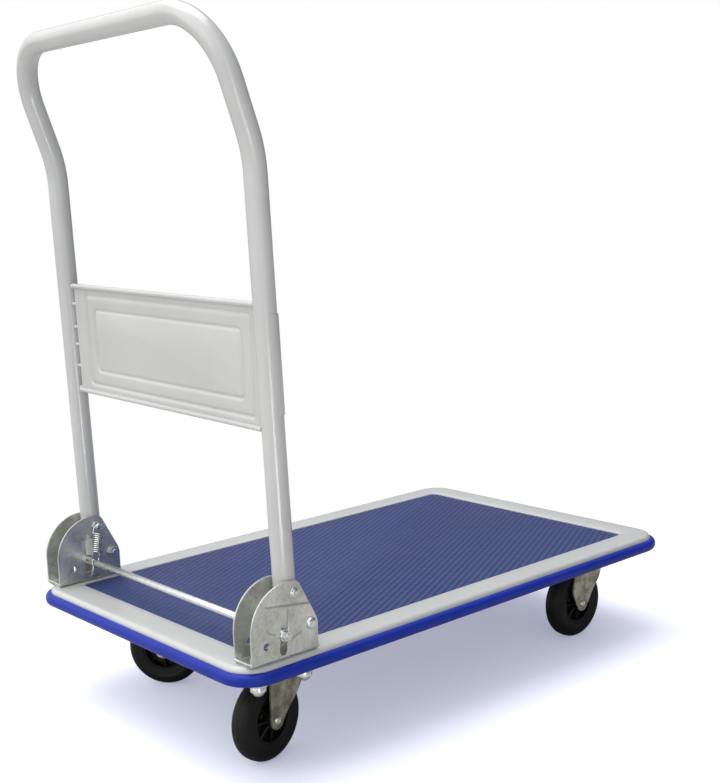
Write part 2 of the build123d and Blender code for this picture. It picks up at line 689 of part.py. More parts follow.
def axle_parts():
    """Bolt, nut and bush of one wheel, with the axle at the origin and the bolt's head at -Y."""
    inside = FORK_INSIDE / 2
    outside = inside + FORK_SHEET
    radius, flats, height = M8
    bolt = pin_y(0, 0, radius, -outside, outside + height + 2)
    bolt += pin_y(0, 0, AXLE_HEAD[0], -outside - AXLE_HEAD[1], -outside)
    nut = hexagon_y(0, 0, flats, outside, outside + height)
    nut -= pin_y(0, 0, radius, outside - 1, outside + height + 1)
    bush = pin_y(0, 0, BUSH_RADIUS, -inside, inside)
    bush -= pin_y(0, 0, radius, -inside - 1, inside + 1)
    return bolt, nut, bush


def save_wheel(name, place):
    save("tyre_" + name, place * tyre())
    save("hub_" + name, place * hub())


def save_swivel_caster(name, side, angle):
    """A swivel caster; its wheel trails behind its kingpin, turned by angle about +Z."""
    turn = Pos(KINGPIN_X, side * CASTER_Y, 0) * Rot(0, 0, angle)
    axle = turn * Pos(-TRAIL, 0, WHEEL_RADIUS)
    bolt, nut, bush = axle_parts()
    save("swivel_plate_" + name, swivel_plate(side))
    save("kingpin_" + name, kingpin(side))
    save("swivel_fork_" + name, turn * swivel_fork())
    save("swivel_axle_bolt_" + name, axle * bolt)
    save("swivel_axle_nut_" + name, axle * nut)
    save("swivel_bush_" + name, axle * bush)
    save_wheel("rear_" + name, axle)


def save_rigid_casters():
    bolt, nut, bush = axle_parts()
    places = []
    for name, side in SIDES:
        axle = Pos(FRONT_AXLE_X, side * CASTER_Y, WHEEL_RADIUS)
        if side > 0:
            axle = axle * Rot(0, 0, 180)
        places.append(axle)
        save("rigid_fork_" + name, rigid_fork(side))
        save_wheel("front_" + name, axle)
    save("rigid_axle_bolts", Compound([place * bolt for place in places]))
    save("rigid_axle_nuts", Compound([place * nut for place in places]))
    save("rigid_bushes", Compound([place * bush for place in places]))


def caster_bolt():
    """A caster's mounting bolt: its flat head inside the cross member, its nut underneath."""
    head_low = CHANNEL_BOTTOM + CHANNEL_SHEET
    tip = CHANNEL_BOTTOM - PLATE_SHEET - 6.5
    bolt = pin_z(0, 0, M8[0], tip, head_low)
    return bolt + hexagon_z(0, 0, M8[1], head_low, head_low + 4)


def caster_nut():
    high = CHANNEL_BOTTOM - PLATE_SHEET
    nut = hexagon_z(0, 0, M8[1], high - 6.0, high)
    return nut - pin_z(0, 0, M8[0], high - 7, high + 1)


def save_fasteners():
    caster_places = list(caster_bolt_places(KINGPIN_X))
    caster_places += list(caster_bolt_places(FRONT_AXLE_X + FRONT_LEAN))
    save("caster_bolts", at_places(caster_bolt(), caster_places))
    save("caster_nuts", at_places(caster_nut(), caster_places))
    bracket_places = list(bracket_bolt_places())
    save("bracket_bolts", at_places(bracket_bolt(), bracket_places))
    save("bracket_nuts", at_places(bracket_nut(), bracket_places))
    save("bracket_spacers", at_places(bracket_spacer(), bracket_places))
    both = [side for _, side in SIDES]
    pivot_end = SPRING_TOP_Y - BOLT_POKE
    stop_end = TUBE_Y - BRACKET_GAP / 2 - BRACKET_SHEET - M8[2] - BOLT_POKE
    pivots = [cross_bolt(side, PIVOT_X, PIVOT_Z, PIVOT_HEAD, pivot_end) for side in both]
    stops = [cross_bolt(side, STOP_X, STOP_Z, STOP_HEAD, stop_end) for side in both]
    save("pivot_bolts", Compound(pivots))
    save("stop_bolts", Compound(stops))
    save("pivot_nuts", Compound([cross_nut(side, PIVOT_X, PIVOT_Z, PIVOT_NUT) for side in both]))
    save("stop_nuts", Compound([cross_nut(side, STOP_X, STOP_Z, M8) for side in both]))
    save("stop_sleeves", Compound([stop_sleeve(side) for side in both]))
    save("pivot_bushes", Compound([pivot_bush(side) for side in both]))
    save("lock_rod_nuts", Compound([rod_nut(side) for side in both]))


def main():
    save("deck", deck())
    save("edge_bumper", bumper())
    save("deck_mat", mat())
    save("cross_member_rear", rear_cross_member())
    save("cross_member_front", front_cross_member())
    save("handle_tube", handle_tube())
    save("handle_panel", panel())
    save("lock_rod", lock_rod())
    save("bearing_balls", bearing_balls())
    for name, side in SIDES:
        save("handle_bracket_" + name, bracket(side))
        save("spring_" + name, spring(side))
    save_swivel_caster("right", -1, RIGHT_SWIVEL)
    save_swivel_caster("left", 1, LEFT_SWIVEL)
    save_rigid_casters()
    save_fasteners()


main()
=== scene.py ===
"""Folding platform cart: the looks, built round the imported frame. Metres, +X front, +Y left, +Z up."""

import json
from math import atan2, ceil, cos, hypot, pi, radians, sin, sqrt, tan

import bmesh
import bpy
from mathutils import Matrix, Vector
from mathutils.geometry import delaunay_2d_cdt

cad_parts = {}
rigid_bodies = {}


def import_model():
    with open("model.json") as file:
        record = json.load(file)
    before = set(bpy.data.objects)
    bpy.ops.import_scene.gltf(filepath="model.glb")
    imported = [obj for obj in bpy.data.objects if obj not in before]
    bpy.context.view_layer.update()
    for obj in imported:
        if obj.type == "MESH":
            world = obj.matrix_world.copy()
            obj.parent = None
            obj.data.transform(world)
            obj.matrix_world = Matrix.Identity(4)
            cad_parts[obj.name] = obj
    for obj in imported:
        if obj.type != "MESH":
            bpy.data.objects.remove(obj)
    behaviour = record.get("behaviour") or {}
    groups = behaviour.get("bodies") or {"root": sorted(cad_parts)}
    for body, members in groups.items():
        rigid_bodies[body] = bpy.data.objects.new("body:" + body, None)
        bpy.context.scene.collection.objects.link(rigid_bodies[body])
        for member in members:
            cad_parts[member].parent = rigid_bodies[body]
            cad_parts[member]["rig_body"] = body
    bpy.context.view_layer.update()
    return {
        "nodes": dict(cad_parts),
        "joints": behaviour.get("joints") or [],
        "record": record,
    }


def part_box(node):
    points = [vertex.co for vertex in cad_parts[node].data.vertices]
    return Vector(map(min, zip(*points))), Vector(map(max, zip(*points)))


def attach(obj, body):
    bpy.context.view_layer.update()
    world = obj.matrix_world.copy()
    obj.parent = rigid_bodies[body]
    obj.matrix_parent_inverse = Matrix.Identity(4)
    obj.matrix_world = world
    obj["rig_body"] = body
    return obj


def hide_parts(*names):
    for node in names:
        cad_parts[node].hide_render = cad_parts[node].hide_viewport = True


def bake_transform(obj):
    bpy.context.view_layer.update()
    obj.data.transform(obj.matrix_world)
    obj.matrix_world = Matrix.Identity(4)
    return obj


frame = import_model()
NODES = frame["nodes"]
JOINTS = {joint["name"]: joint for joint in frame["joints"]}
SLOT_OF = {part["node"]: part["material_slot"] for part in frame["record"]["subparts"]}
SIDES = (("left", 1), ("right", -1))
MM = 0.001

# Deck, mat and bumper
DECK_LOW, DECK_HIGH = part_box("deck")
MAT_LOW, MAT_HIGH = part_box("deck_mat")
BUMPER_LOW, BUMPER_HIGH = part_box("edge_bumper")
DECK_CORNER = 36 * MM
DECK_SHEET = 1.5 * MM
DECK_ROUND = 6.0 * MM
MAT_CORNER = 9 * MM
MAT_GAP = 0.5 * MM
BUMPER_OUT = BUMPER_HIGH.x - DECK_HIGH.x
BUMPER_ROUND = 6.0 * MM
BUMPER_LIP = 2.0 * MM
RIB_PITCH = 8.2 * MM
RIB_ANGLE = radians(28)
RIB_WIDTH = 5.4 * MM
RIB_HEIGHT = 0.35 * MM
RIB_SHORTEST = 6 * MM
RIB_STEPS = (-0.5, -0.36, -0.18, 0.0, 0.18, 0.36, 0.5)
MAT_MARGIN = 3 * MM
# (inwards, drop) in mm: the rim's step down to the recess, and the mat's raised border
RECESS_EDGE = ((6.5, 0), (5.5, 0.12), (4.5, 0.5), (3.6, 0.62), (1.4, 0.66), (0.6, 0.8), (0.15, 1.3))
MAT_BORDER = ((0, 0.9), (0.12, 0.35), (0.4, 0.1), (0.9, 0), (1.6, 0), (2.0, 0.12), (2.6, 0.3))

# Handle
PIVOT = Vector(JOINTS["handle_fold"]["pos_m"])
TUBE_RADIUS = 12.7 * MM
TUBE_WALL = 1.5 * MM
TUBE_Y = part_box("handle_tube")[1].y - TUBE_RADIUS
RAKE = radians(1.35)
HANDLE_UP = Vector((-sin(RAKE), 0, cos(RAKE)))
HANDLE_FRONT = Vector((cos(RAKE), 0, sin(RAKE)))
ELBOW_Z = 0.686
ELBOW_ANGLE = radians(17)
ELBOW_RADIUS = 0.160
ARCH_LENGTH = 0.128
ARCH_CORNER = 0.076
FOOT_REACH = 41.7 * MM
HANDLE_SIDES = 40

# Handle panel
PANEL_BOTTOM = 394.0 * MM
PANEL_TOP = 534.5 * MM
PANEL_TILT = radians(-1.1)
PANEL_BACK = 4.3 * MM
PANEL_SHEET = 1.2 * MM
PANEL_BEAD = 3.0 * MM
PANEL_LEFT = 188.0 * MM
PANEL_RIGHT = 198.4 * MM
BEAD_RIGHT = 200.6 * MM
FLANGE_RISE = (409 * MM, 517 * MM)
FRAME_OFFSET = 11.5 * MM
OUTER_FRAME = (173.5 * MM, 56.5 * MM, 4.5 * MM)
INNER_FRAME = (155.0 * MM, 38.5 * MM, 6 * MM)
GROOVE_WIDTH = 8.0 * MM
GROOVE_DEPTH = 1.9 * MM
# heights of the weld tacks as shares of the panel's half height
LEFT_TACKS = (-0.93, -0.52, -0.12, 0.2, 0.62, 0.93)
RIGHT_TACKS = (-0.84, -0.38, 0.1, 0.66)

# Brackets
BRACKET_LOW, BRACKET_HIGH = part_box("handle_bracket_left")
BRACKET_SHEET = 2.2 * MM
BRACKET_HALF = 15.4 * MM
BRACKET_BEND = 3.3 * MM
BACK_RADIUS = 51.5 * MM
CROWN = (6.0 * MM, -1.5 * MM)
SHOULDER_Z = 0.181
SLOT_WIDTH = 11 * MM
SLOT_TOP = (PIVOT.x - 12.7 * MM, PIVOT.z - 20.0 * MM)
SLOT_BOTTOM = (PIVOT.x - 16.9 * MM, PIVOT.z - 61.5 * MM)
INSPECTION = (PIVOT.x - 39.5 * MM, PIVOT.z - 51.5 * MM)
INSPECTION_RADIUS = 4.5 * MM
SHEET_PITCH = 1.5 * MM
SHEET_MARGIN = 0.9 * MM
# pressed folds on an outer cheek, in mm from the pivot: start, end, half width, depth
CREASES = (
    ((-38, -7), (27, -16), 2.3, 0.9),
    ((-38, -34), (-23, -43), 2.4, 0.9),
    ((-4, -49), (8, -45), 2.4, 0.9),
    ((-5, -20), (-5, -40), 2.0, 0.6),
)
STOP_BOSS = (21.1, -39.6, 12, 0.5)
SLOT_SWELL = (-8, -44, 0.35)

# Lock rod and springs
ROD_LOW, ROD_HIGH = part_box("lock_rod")
ROD_RADIUS = 4.5 * MM
ROD_SHOULDER = 227.5 * MM
SPRING_TOP_Y = 189.5 * MM
SPRING_FOOT_Y = 177.0 * MM
SPRING_TURNS = 9
SPRING_RADIUS = 6.15 * MM
SPRING_WIRE = 0.85 * MM
PIN_RADIUS = 4.0 * MM
COIL_ENDS = (13.0 * MM, 11.0 * MM)

# Casters
WHEEL_RADIUS = 50 * MM
TYRE_HALF = 13 * MM
TYRE_SHOULDER = 11 * MM
HUB_RADIUS = 28.5 * MM
BORE = 6.05 * MM
BOSS_HALF = 15.5 * MM
SPOKES = 8
SPOKE_BASE = 1.5 * MM
# (distance out, height, half width) in mm along a spoke
SPOKE_STATIONS = ((8.6, 11.0, 1.8), (13, 9.6, 1.6), (20, 8.2, 1.4), (25.9, 8.0, 1.4))
FORK_HALF = 17.25 * MM
FORK_SHEET = 2.5 * MM
FORK_BEND = 4.5 * MM
CROWN_TOP = 109 * MM
CROWN_RADIUS = 25 * MM
AXLE_END = 10.4 * MM
PLATE_TOP = 119 * MM
PLATE_SHEET = 2.5 * MM
PLATE_HALF = (47 * MM, 33 * MM)
PLATE_UNDER = PLATE_TOP - PLATE_SHEET
CROWN_MIDDLE = CROWN_TOP - FORK_SHEET / 2
# (height, x) in mm up the edges of a fork's legs: x is from the kingpin, or from the axle where it says so
SWIVEL_REAR_FROM_AXLE = ((50, -10.4), (80, -9.6), (CROWN_MIDDLE / MM, -8.8))
SWIVEL_TOE_FROM_AXLE = ((43.6, 8.2),)
SWIVEL_FRONT = ((54, -15), (66, -2), (78, 9.5), (90, 15.5), (CROWN_MIDDLE / MM, 18.5))
FIXED_REAR_FROM_AXLE = ((44, -9.6), (57, -14.5), (71, -19.5), (92, -15), (PLATE_UNDER / MM, -16))
FIXED_FRONT_FROM_AXLE = ((44, 9.6), (65, 23), (79, 36), (92, 41.9), (PLATE_UNDER / MM, 42))

# Studio
FLOOR_HALF = 30.0
FLOOR_FADE = (0.36, 0.94)
FLOOR_STRETCH = (1.0, 1.5, 1.0)

# Camera
CAMERA_PLACE = Vector((-1.1071, -1.2847, 0.6448))
CAMERA_YAW = 49.061
CAMERA_PITCH = 9.081
CAMERA_ROLL = -2.2527
CAMERA_LENS = 58.725
CAMERA_SENSOR = 36.0


# ---- mesh helpers


def joined(parts):
    """One (points, faces) pair from several."""
    points, faces = [], []
    for more_points, more_faces in parts:
        start = len(points)
        points += more_points
        faces += [[index + start for index in face] for face in more_faces]
    return points, faces


def placed(shape, matrix):
    points, faces = shape
    return [matrix @ point for point in points], faces


def moved(shape, place):
    return placed(shape, Matrix.Translation(place))


def from_mm(pairs, first=0, second=0):
    """Pairs of lengths in mm, counted on from two lengths in metres."""
    return [(first + a * MM, second + b * MM) for a, b in pairs]


def sweep(start, end, steps):
    """The cosine and sine of even steps from one angle to another, both ends included."""
    angles = [start + (end - start) * step / steps for step in range(steps + 1)]
    return [(cos(angle), sin(angle)) for angle in angles]


def circle(sides):
    """The cosine and sine of even steps round a whole turn."""
    return sweep(0, 2 * pi, sides)[:-1]


def loft(rings, closed=False):
    """Quads between rings of equal length, with flat ends, or closed on itself."""
    count = len(rings[0])
    points = [point for ring in rings for point in ring]
    faces = []
    for index in range(len(rings) if closed else len(rings) - 1):
        near = index * count
        far = (index + 1) % len(rings) * count
        for step in range(count):
            turn = (step + 1) % count
            faces.append([near + step, near + turn, far + turn, far + step])
    if not closed:
        last = len(points) - count
        faces.append(list(range(count)))
        faces.append(list(range(last, len(points))))
    return points, faces


def rounded_ring(half_x, half_y, corner, z, steps=12):
    """Points round a rounded rectangle in the XY plane."""
    ring = []
    for quarter, (sign_x, sign_y) in enumerate(((1, 1), (-1, 1), (-1, -1), (1, -1))):
        centre = Vector((sign_x * (half_x - corner), sign_y * (half_y - corner), z))
        for c, s in sweep(pi / 2 * quarter, pi / 2 * (quarter + 1), steps):
            ring.append(centre + Vector((c, s, 0)) * corner)
    return ring


def divided(ring, pieces=16, steps=12):
    """A rounded ring with its four straight sides cut into short lengths."""
    dense = []
    for index, point in enumerate(ring):
        dense.append(point)
        if index % (steps + 1) == steps:
            ahead = ring[(index + 1) % len(ring)]
            dense += [point.lerp(ahead, piece / pieces) for piece in range(1, pieces)]
    return dense


def softened(points, radius, steps=5):
    """A 2D outline with each inner corner replaced by a small curve."""
    curve = [points[0]]
    for before, corner, after in zip(points, points[1:], points[2:]):
        before, corner, after = Vector(before), Vector(corner), Vector(after)
        reach = min(radius, (before - corner).length * 0.49, (after - corner).length * 0.49)
        start = corner + (before - corner).normalized() * reach
        end = corner + (after - corner).normalized() * reach
        for step in range(steps + 1):
            t = step / steps
            curve.append(tuple(start * (1 - t) ** 2 + corner * 2 * t * (1 - t) + end * t * t))
    return curve + [points[-1]]


def mirrored(half):
    """A profile of (along, radius) points and its mirror image, the mirror image first."""
    return [(-y, r) for y, r in half[:0:-1]] + half


def lathe(profile, sides=64, closed=False):
    """A solid turned about the Y axis from (along, radius) points."""
    rings = [[Vector((r * c, y, r * s)) for c, s in circle(sides)] for y, r in profile]
    return loft(rings, closed=closed)


def tangent_at(points, index):
    """The direction of a line of points at one of them."""
    return (points[min(index + 1, len(points) - 1)] - points[max(index - 1, 0)]).normalized()


def tube(points, radius, sides=20):
    """A round bar along a line of points."""
    rings = []
    across = tangent_at(points, 0).orthogonal()
    for index, point in enumerate(points):
        tangent = tangent_at(points, index)
        across = (across - tangent * across.dot(tangent)).normalized()
        other = tangent.cross(across)
        rings.append([point + (across * c + other * s) * radius for c, s in circle(sides)])
    return loft(rings)


def onto_scene(name, mesh, smooth):
    """A new object in the scene with a mesh that is shaded smooth below an angle in degrees."""
    mesh.shade_smooth()
    mesh.set_sharp_from_angle(angle=radians(smooth))
    piece = bpy.data.objects.new(name, mesh)
    bpy.context.scene.collection.objects.link(piece)
    return piece


def new_piece(name, shape, smooth=40):
    """A Blender object from (points, faces), its faces turned outwards and shaded smooth."""
    mesh = bpy.data.meshes.new(name)
    mesh.from_pydata(shape[0], [], shape[1])
    work = bmesh.new()
    work.from_mesh(mesh)
    bmesh.ops.recalc_face_normals(work, faces=work.faces)
    work.to_mesh(mesh)
    work.free()
    return onto_scene(name, mesh, smooth)


def soften_edges(piece, width, angle=40):
    """Breaks a piece's hard edges, and keeps its flat faces flat."""
    bevel = piece.modifiers.new("edges", "BEVEL")
    bevel.width = width
    bevel.segments = 2
    bevel.limit_method = "ANGLE"
    bevel.angle_limit = radians(angle)
    bevel.harden_normals = True
    return piece


def sheet_piece(name, shape, thickness, edge):
    """A pressed sheet with broken edges, from the surface in the middle of its thickness."""
    piece = new_piece(name, shape, 60)
    sheet = piece.modifiers.new("sheet", "SOLIDIFY")
    sheet.thickness = thickness
    sheet.offset = 0.0
    sheet.use_even_offset = True
    return soften_edges(piece, edge, angle=60)


def stand_for(piece, node, *more):
    """The piece rides with a CAD node's body, replaces it and takes its finish."""
    slot = SLOT_OF[node]
    piece.data.materials.append(MATERIALS[slot])
    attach(piece, NODES[node]["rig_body"])
    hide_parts(node, *more)
    return piece


def refined(node, width=0.35 * MM):
    """A copy of a CAD node with whole flat faces and broken edges."""
    mesh = NODES[node].data.copy()
    mesh.materials.clear()
    work = bmesh.new()
    work.from_mesh(mesh)
    bmesh.ops.remove_doubles(work, verts=work.verts, dist=1e-6)
    bmesh.ops.dissolve_limit(work, angle_limit=radians(1), verts=work.verts, edges=work.edges)
    work.to_mesh(mesh)
    work.free()
    return stand_for(soften_edges(onto_scene(node + "_finished", mesh, 35), width), node)


# ---- materials


class Nodes:
    """A node tree, and a short way to add nodes with their inputs fed."""

    def __init__(self, tree):
        self.tree = tree

    def link(self, source, target):
        self.tree.links.new(source, target)

    def add(self, kind, feeds=None, **settings):
        """A new node; feeds has, for each input, its value or the output that goes into it."""
        node = self.tree.nodes.new(kind)
        for name, value in settings.items():
            setattr(node, name, value)
        for socket, value in (feeds or {}).items():
            if isinstance(value, bpy.types.NodeSocket):
                self.link(value, node.inputs[socket])
            else:
                node.inputs[socket].default_value = value
        return node

    def colours(self, factor, stops):
        """A colour ramp of (position, colour) stops."""
        ramp = self.add("ShaderNodeValToRGB", {"Fac": factor})
        elements = ramp.color_ramp.elements
        while len(elements) < len(stops):
            elements.new(0.5)
        for element, (position, colour) in zip(elements, stops):
            element.position = position
            element.color = (*colour, 1)
        return ramp.outputs["Color"]


class Finish(Nodes):
    """A procedural material: a Principled shader and the nodes that feed it."""

    def __init__(self, name, **values):
        self.material = bpy.data.materials.new(name)
        self.material.use_nodes = True
        super().__init__(self.material.node_tree)
        self.shader = self.tree.nodes["Principled BSDF"]
        for socket, value in values.items():
            self.shader.inputs[socket.replace("_", " ")].default_value = value
        self.place = self.add("ShaderNodeTexCoord").outputs["Object"]

    def noise(self, scale, detail=3.0, roughness=0.5):
        """Noise in the object's own space; a scale of 100 is a grain of about 10 mm."""
        feeds = {"Scale": scale, "Detail": detail, "Roughness": roughness, "Vector": self.place}
        return self.add("ShaderNodeTexNoise", feeds).outputs["Fac"]

    def spread(self, factor, low, high, start=0.3, end=0.7):
        """A value that runs from low to high as the factor runs from start to end."""
        feeds = {"Value": factor, "From Min": start, "From Max": end, "To Min": low, "To Max": high}
        return self.add("ShaderNodeMapRange", feeds).outputs["Result"]

    def mixed(self, factor, first, second, mode="MIX"):
        feeds = {0: factor, 6: first, 7: second}
        return self.add("ShaderNodeMix", feeds, data_type="RGBA", blend_type=mode).outputs[2]

    def colour(self, output):
        self.link(output, self.shader.inputs["Base Color"])

    def roughness(self, output):
        self.link(output, self.shader.inputs["Roughness"])

    def bump(self, height, distance, strength=1.0):
        feeds = {"Distance": distance, "Strength": strength, "Height": height}
        bump = self.add("ShaderNodeBump", feeds)
        self.link(bump.outputs["Normal"], self.shader.inputs["Normal"])


def plain_finish(name, tone, gloss, grain=None, **values):
    """A finish clouded from one colour to another, unevenly glossy, with perhaps a fine grain.

    tone is (noise, darker, paler), gloss is (noise, lowest, highest) and grain is (noise, depth, strength).
    """
    finish = Finish(name, **values)
    noise, darker, paler = tone
    finish.colour(finish.colours(finish.noise(*noise), ((0.3, darker), (0.7, paler))))
    noise, lowest, highest = gloss
    finish.roughness(finish.spread(finish.noise(*noise), lowest, highest))
    if grain:
        noise, depth, strength = grain
        finish.bump(finish.noise(*noise), depth, strength)
    return finish.material


def white_paint():
    """Light grey gloss enamel with a faint orange peel."""
    tone = ((9, 4), (0.472, 0.481, 0.474), (0.512, 0.520, 0.512))
    gloss, grain = ((45, 3), 0.34, 0.48), ((420, 2), 0.01 * MM, 0.4)
    return plain_finish("light_grey_enamel", tone, gloss, grain, Coat_Weight=1.0, Coat_Roughness=0.16)


def ribbed_vinyl():
    """Navy vinyl, paler along the rib crests than between them, with paler worn and dusty patches."""
    finish = Finish("navy_ribbed_vinyl", Specular_IOR_Level=0.26)
    feeds = {"Rotation": (0, 0, RIB_ANGLE), "Vector": finish.place}
    turn = finish.add("ShaderNodeMapping", feeds, vector_type="TEXTURE").outputs["Vector"]
    feeds = {"Scale": pi / 10 / RIB_PITCH, "Phase Offset": pi / 2, "Distortion": 0.0, "Vector": turn}
    wave = finish.add("ShaderNodeTexWave", feeds, wave_type="BANDS", bands_direction="Y", wave_profile="SIN")
    # the colour runs paler over the rib crests and darker between them, in step with the ribs' geometry
    bare_tones = ((0.15, (0.025, 0.039, 0.130)), (0.85, (0.037, 0.053, 0.165)))
    worn = ((0.35, (0.031, 0.045, 0.142)), (0.75, (0.055, 0.069, 0.168)))
    ribs = finish.colours(wave.outputs["Fac"], bare_tones)
    dusty = finish.colours(finish.noise(7, 5, 0.6), worn)
    blend = finish.spread(finish.noise(16, 4), 0.15, 0.5)
    finish.colour(finish.mixed(blend, ribs, dusty))
    finish.roughness(finish.spread(finish.noise(160, 3), 0.48, 0.66))
    finish.bump(finish.noise(1400, 2), 0.05 * MM, 0.7)
    return finish.material


def bumper_vinyl():
    """Bright blue soft plastic with a low gloss."""
    tone = ((14, 4), (0.006, 0.021, 0.27), (0.009, 0.029, 0.33))
    return plain_finish("blue_bumper_vinyl", tone, ((30, 2), 0.30, 0.38), Specular_IOR_Level=0.22)


def zinc_sheet():
    """Zinc-plated sheet: soft grey metal with warm stains, and a painted brown shade that darkens it down by
    the wheels, where it reflects the shadowed floor.
    """
    finish = Finish("zinc_plated_sheet", Metallic=0.78)
    stains = finish.noise(46, 6, 0.62)
    colours = ((0.3, (0.49, 0.50, 0.455)), (0.5, (0.62, 0.635, 0.60)), (0.7, (0.75, 0.775, 0.745)))
    base = finish.colours(stains, colours)
    specks = finish.colours(finish.noise(230, 3, 0.6), ((0.35, (0.80, 0.78, 0.75)), (0.6, (1, 1, 1))))
    bare_tones = finish.mixed(finish.spread(stains, 0.5, 0.9), base, specks, "MULTIPLY")
    # painted shade: below 0.13 m the colour is multiplied by mottled browns, standing in for the dark,
    # shadowed floor that the low parts reflect
    height = finish.add("ShaderNodeSeparateXYZ", {0: finish.place})
    low_shade_browns = ((0.38, (0.24, 0.20, 0.13)), (0.62, (0.66, 0.62, 0.52)))
    painted_low_shade = finish.colours(finish.noise(70, 4, 0.6), low_shade_browns)
    low_shade_share = finish.spread(height.outputs["Z"], 0.85, 0.0, 0.10, 0.13)
    finish.colour(finish.mixed(low_shade_share, bare_tones, painted_low_shade, "MULTIPLY"))
    finish.roughness(finish.spread(finish.noise(34, 5, 0.6), 0.24, 0.44))
    finish.bump(finish.noise(300, 4, 0.6), 0.02 * MM, 0.5)
    return finish.material


def zinc_fastener():
    """Bright zinc plate on turned and headed parts."""
    tone = ((150, 4, 0.6), (0.64, 0.68, 0.67), (0.77, 0.81, 0.80))
    gloss, grain = ((120, 3), 0.26, 0.34), ((180, 2), 0.01 * MM, 0.2)
    return plain_finish("zinc_plated_fastener", tone, gloss, grain, Metallic=1.0)


def spring_wire():
    """Drawn spring wire."""
    tone = ((220, 3), (0.50, 0.54, 0.54), (0.74, 0.78, 0.78))
    return plain_finish("spring_wire", tone, ((400, 2), 0.16, 0.30), Metallic=1.0)


def ball_steel():
    """Polished bearing steel."""
    tone = ((300, 2), (0.68, 0.68, 0.69), (0.80, 0.80, 0.81))
    return plain_finish("polished_ball_steel", tone, ((300, 2), 0.08, 0.16), Metallic=1.0)


def tyre_rubber():
    """Solid black rubber with a brown-grey bloom and floor dust."""
    finish = Finish("black_rubber", Specular_IOR_Level=0.25)
    bloom = finish.noise(30, 5, 0.6)
    finish.colour(finish.colours(bloom, ((0.35, (0.004, 0.004, 0.004)), (0.75, (0.012, 0.011, 0.010)))))
    finish.roughness(finish.spread(finish.noise(60, 4), 0.42, 0.62))
    finish.bump(finish.noise(700, 3, 0.6), 0.04 * MM, 0.6)
    return finish.material


def hub_plastic():
    """Moulded black plastic with a fine spark texture."""
    tone = ((70, 4), (0.003, 0.003, 0.003), (0.007, 0.007, 0.007))
    gloss, grain = ((90, 3), 0.34, 0.50), ((1600, 2), 0.03 * MM, 0.6)
    return plain_finish("moulded_black_plastic", tone, gloss, grain, Specular_IOR_Level=0.3)


def studio_floor():
    """Pale floor that fades to the white backdrop, and throws little light back up at the cart. To the camera
    it is lavender and glows a faint lavender: painted light that lifts its shadows and tints them lavender.
    """
    finish = Finish("pale_floor", Roughness=0.9, Specular_IOR_Level=0.1)
    seen = finish.add("ShaderNodeLightPath").outputs["Is Camera Ray"]
    # painted shade: the colour the camera sees is lavender so that the floor's shadows look lavender, while
    # the lit floor clips to white
    pale = finish.colours(finish.noise(3, 2), ((0.3, (0.80, 0.81, 0.86)), (0.7, (0.81, 0.82, 0.87))))
    dim = finish.colours(finish.noise(3, 2), ((0.3, (0.48, 0.475, 0.465)), (0.7, (0.49, 0.485, 0.475))))
    finish.colour(finish.mixed(seen, dim, pale))
    # painted light: a camera-only lavender glow of strength 0.36 that lifts the floor's shadows
    finish.shader.inputs["Emission Color"].default_value = (0.72, 0.76, 1.0, 1)
    finish.link(finish.spread(seen, 0.0, 0.36, 0, 1), finish.shader.inputs["Emission Strength"])
    feeds = {0: finish.place, 1: FLOOR_STRETCH}
    stretched = finish.add("ShaderNodeVectorMath", feeds, operation="MULTIPLY").outputs["Vector"]
    distance = finish.add("ShaderNodeVectorMath", {0: stretched}, operation="LENGTH").outputs["Value"]
    fade = finish.spread(distance, 0, 1, *FLOOR_FADE)
    fade.node.interpolation_type = "SMOOTHSTEP"
    share = finish.add("ShaderNodeMath", {0: fade, 1: seen}, operation="MULTIPLY").outputs["Value"]
    glow = finish.add("ShaderNodeEmission").outputs["Emission"]
    mix = finish.add("ShaderNodeMixShader", {0: share, 1: finish.shader.outputs["BSDF"], 2: glow})
    finish.link(mix.outputs["Shader"], finish.tree.nodes["Material Output"].inputs["Surface"])
    return finish.material


MATERIALS = {
    "white_paint": white_paint(),
    "blue_mat": ribbed_vinyl(),
    "blue_bumper": bumper_vinyl(),
    "zinc_plate": zinc_sheet(),
    "zinc_fasteners": zinc_fastener(),
    "spring_steel": spring_wire(),
    "bearing_steel": ball_steel(),
    "black_rubber": tyre_rubber(),
    "black_plastic": hub_plastic(),
}


# ---- deck


def deck_ring(inset, z):
    """A ring that follows the deck's outline, inside it by an inset."""
    return divided(rounded_ring(DECK_HIGH.x - inset, DECK_HIGH.y - inset, DECK_CORNER - inset, z))


def recess_ring(outset, z):
    """A ring that follows the mat's recess, outside it by an outset."""
    grow = MAT_GAP + outset
    return divided(rounded_ring(MAT_HIGH.x + grow, MAT_HIGH.y + grow, MAT_CORNER + grow, z))


def deck():
    top, bottom, sheet = DECK_HIGH.z, DECK_LOW.z, DECK_SHEET
    floor = MAT_LOW.z - 0.05 * MM
    rings = [deck_ring(0.3 * MM, bottom), deck_ring(0, bottom + 0.3 * MM)]
    for c, s in sweep(0, pi / 2, 8):
        rings.append(deck_ring(DECK_ROUND * (1 - c), top - DECK_ROUND * (1 - s)))
    rings.append(deck_ring(DECK_ROUND + 4 * MM, top))
    rings += [recess_ring(outset * MM, top - drop * MM) for outset, drop in RECESS_EDGE]
    rings += [recess_ring(0, floor + 0.2 * MM), recess_ring(-0.3 * MM, floor)]
    under = [recess_ring(-0.3 * MM, floor - sheet), recess_ring(sheet, floor - sheet)]
    under += [recess_ring(sheet, top - 1.2 * MM - sheet), recess_ring(5 * MM, top - sheet)]
    under += [deck_ring(DECK_ROUND, top - sheet), deck_ring(sheet, top - DECK_ROUND)]
    under.append(deck_ring(sheet, bottom + 0.1 * MM))
    return stand_for(new_piece("deck_tray", loft(rings[::-1] + under[::-1]), 30), "deck")


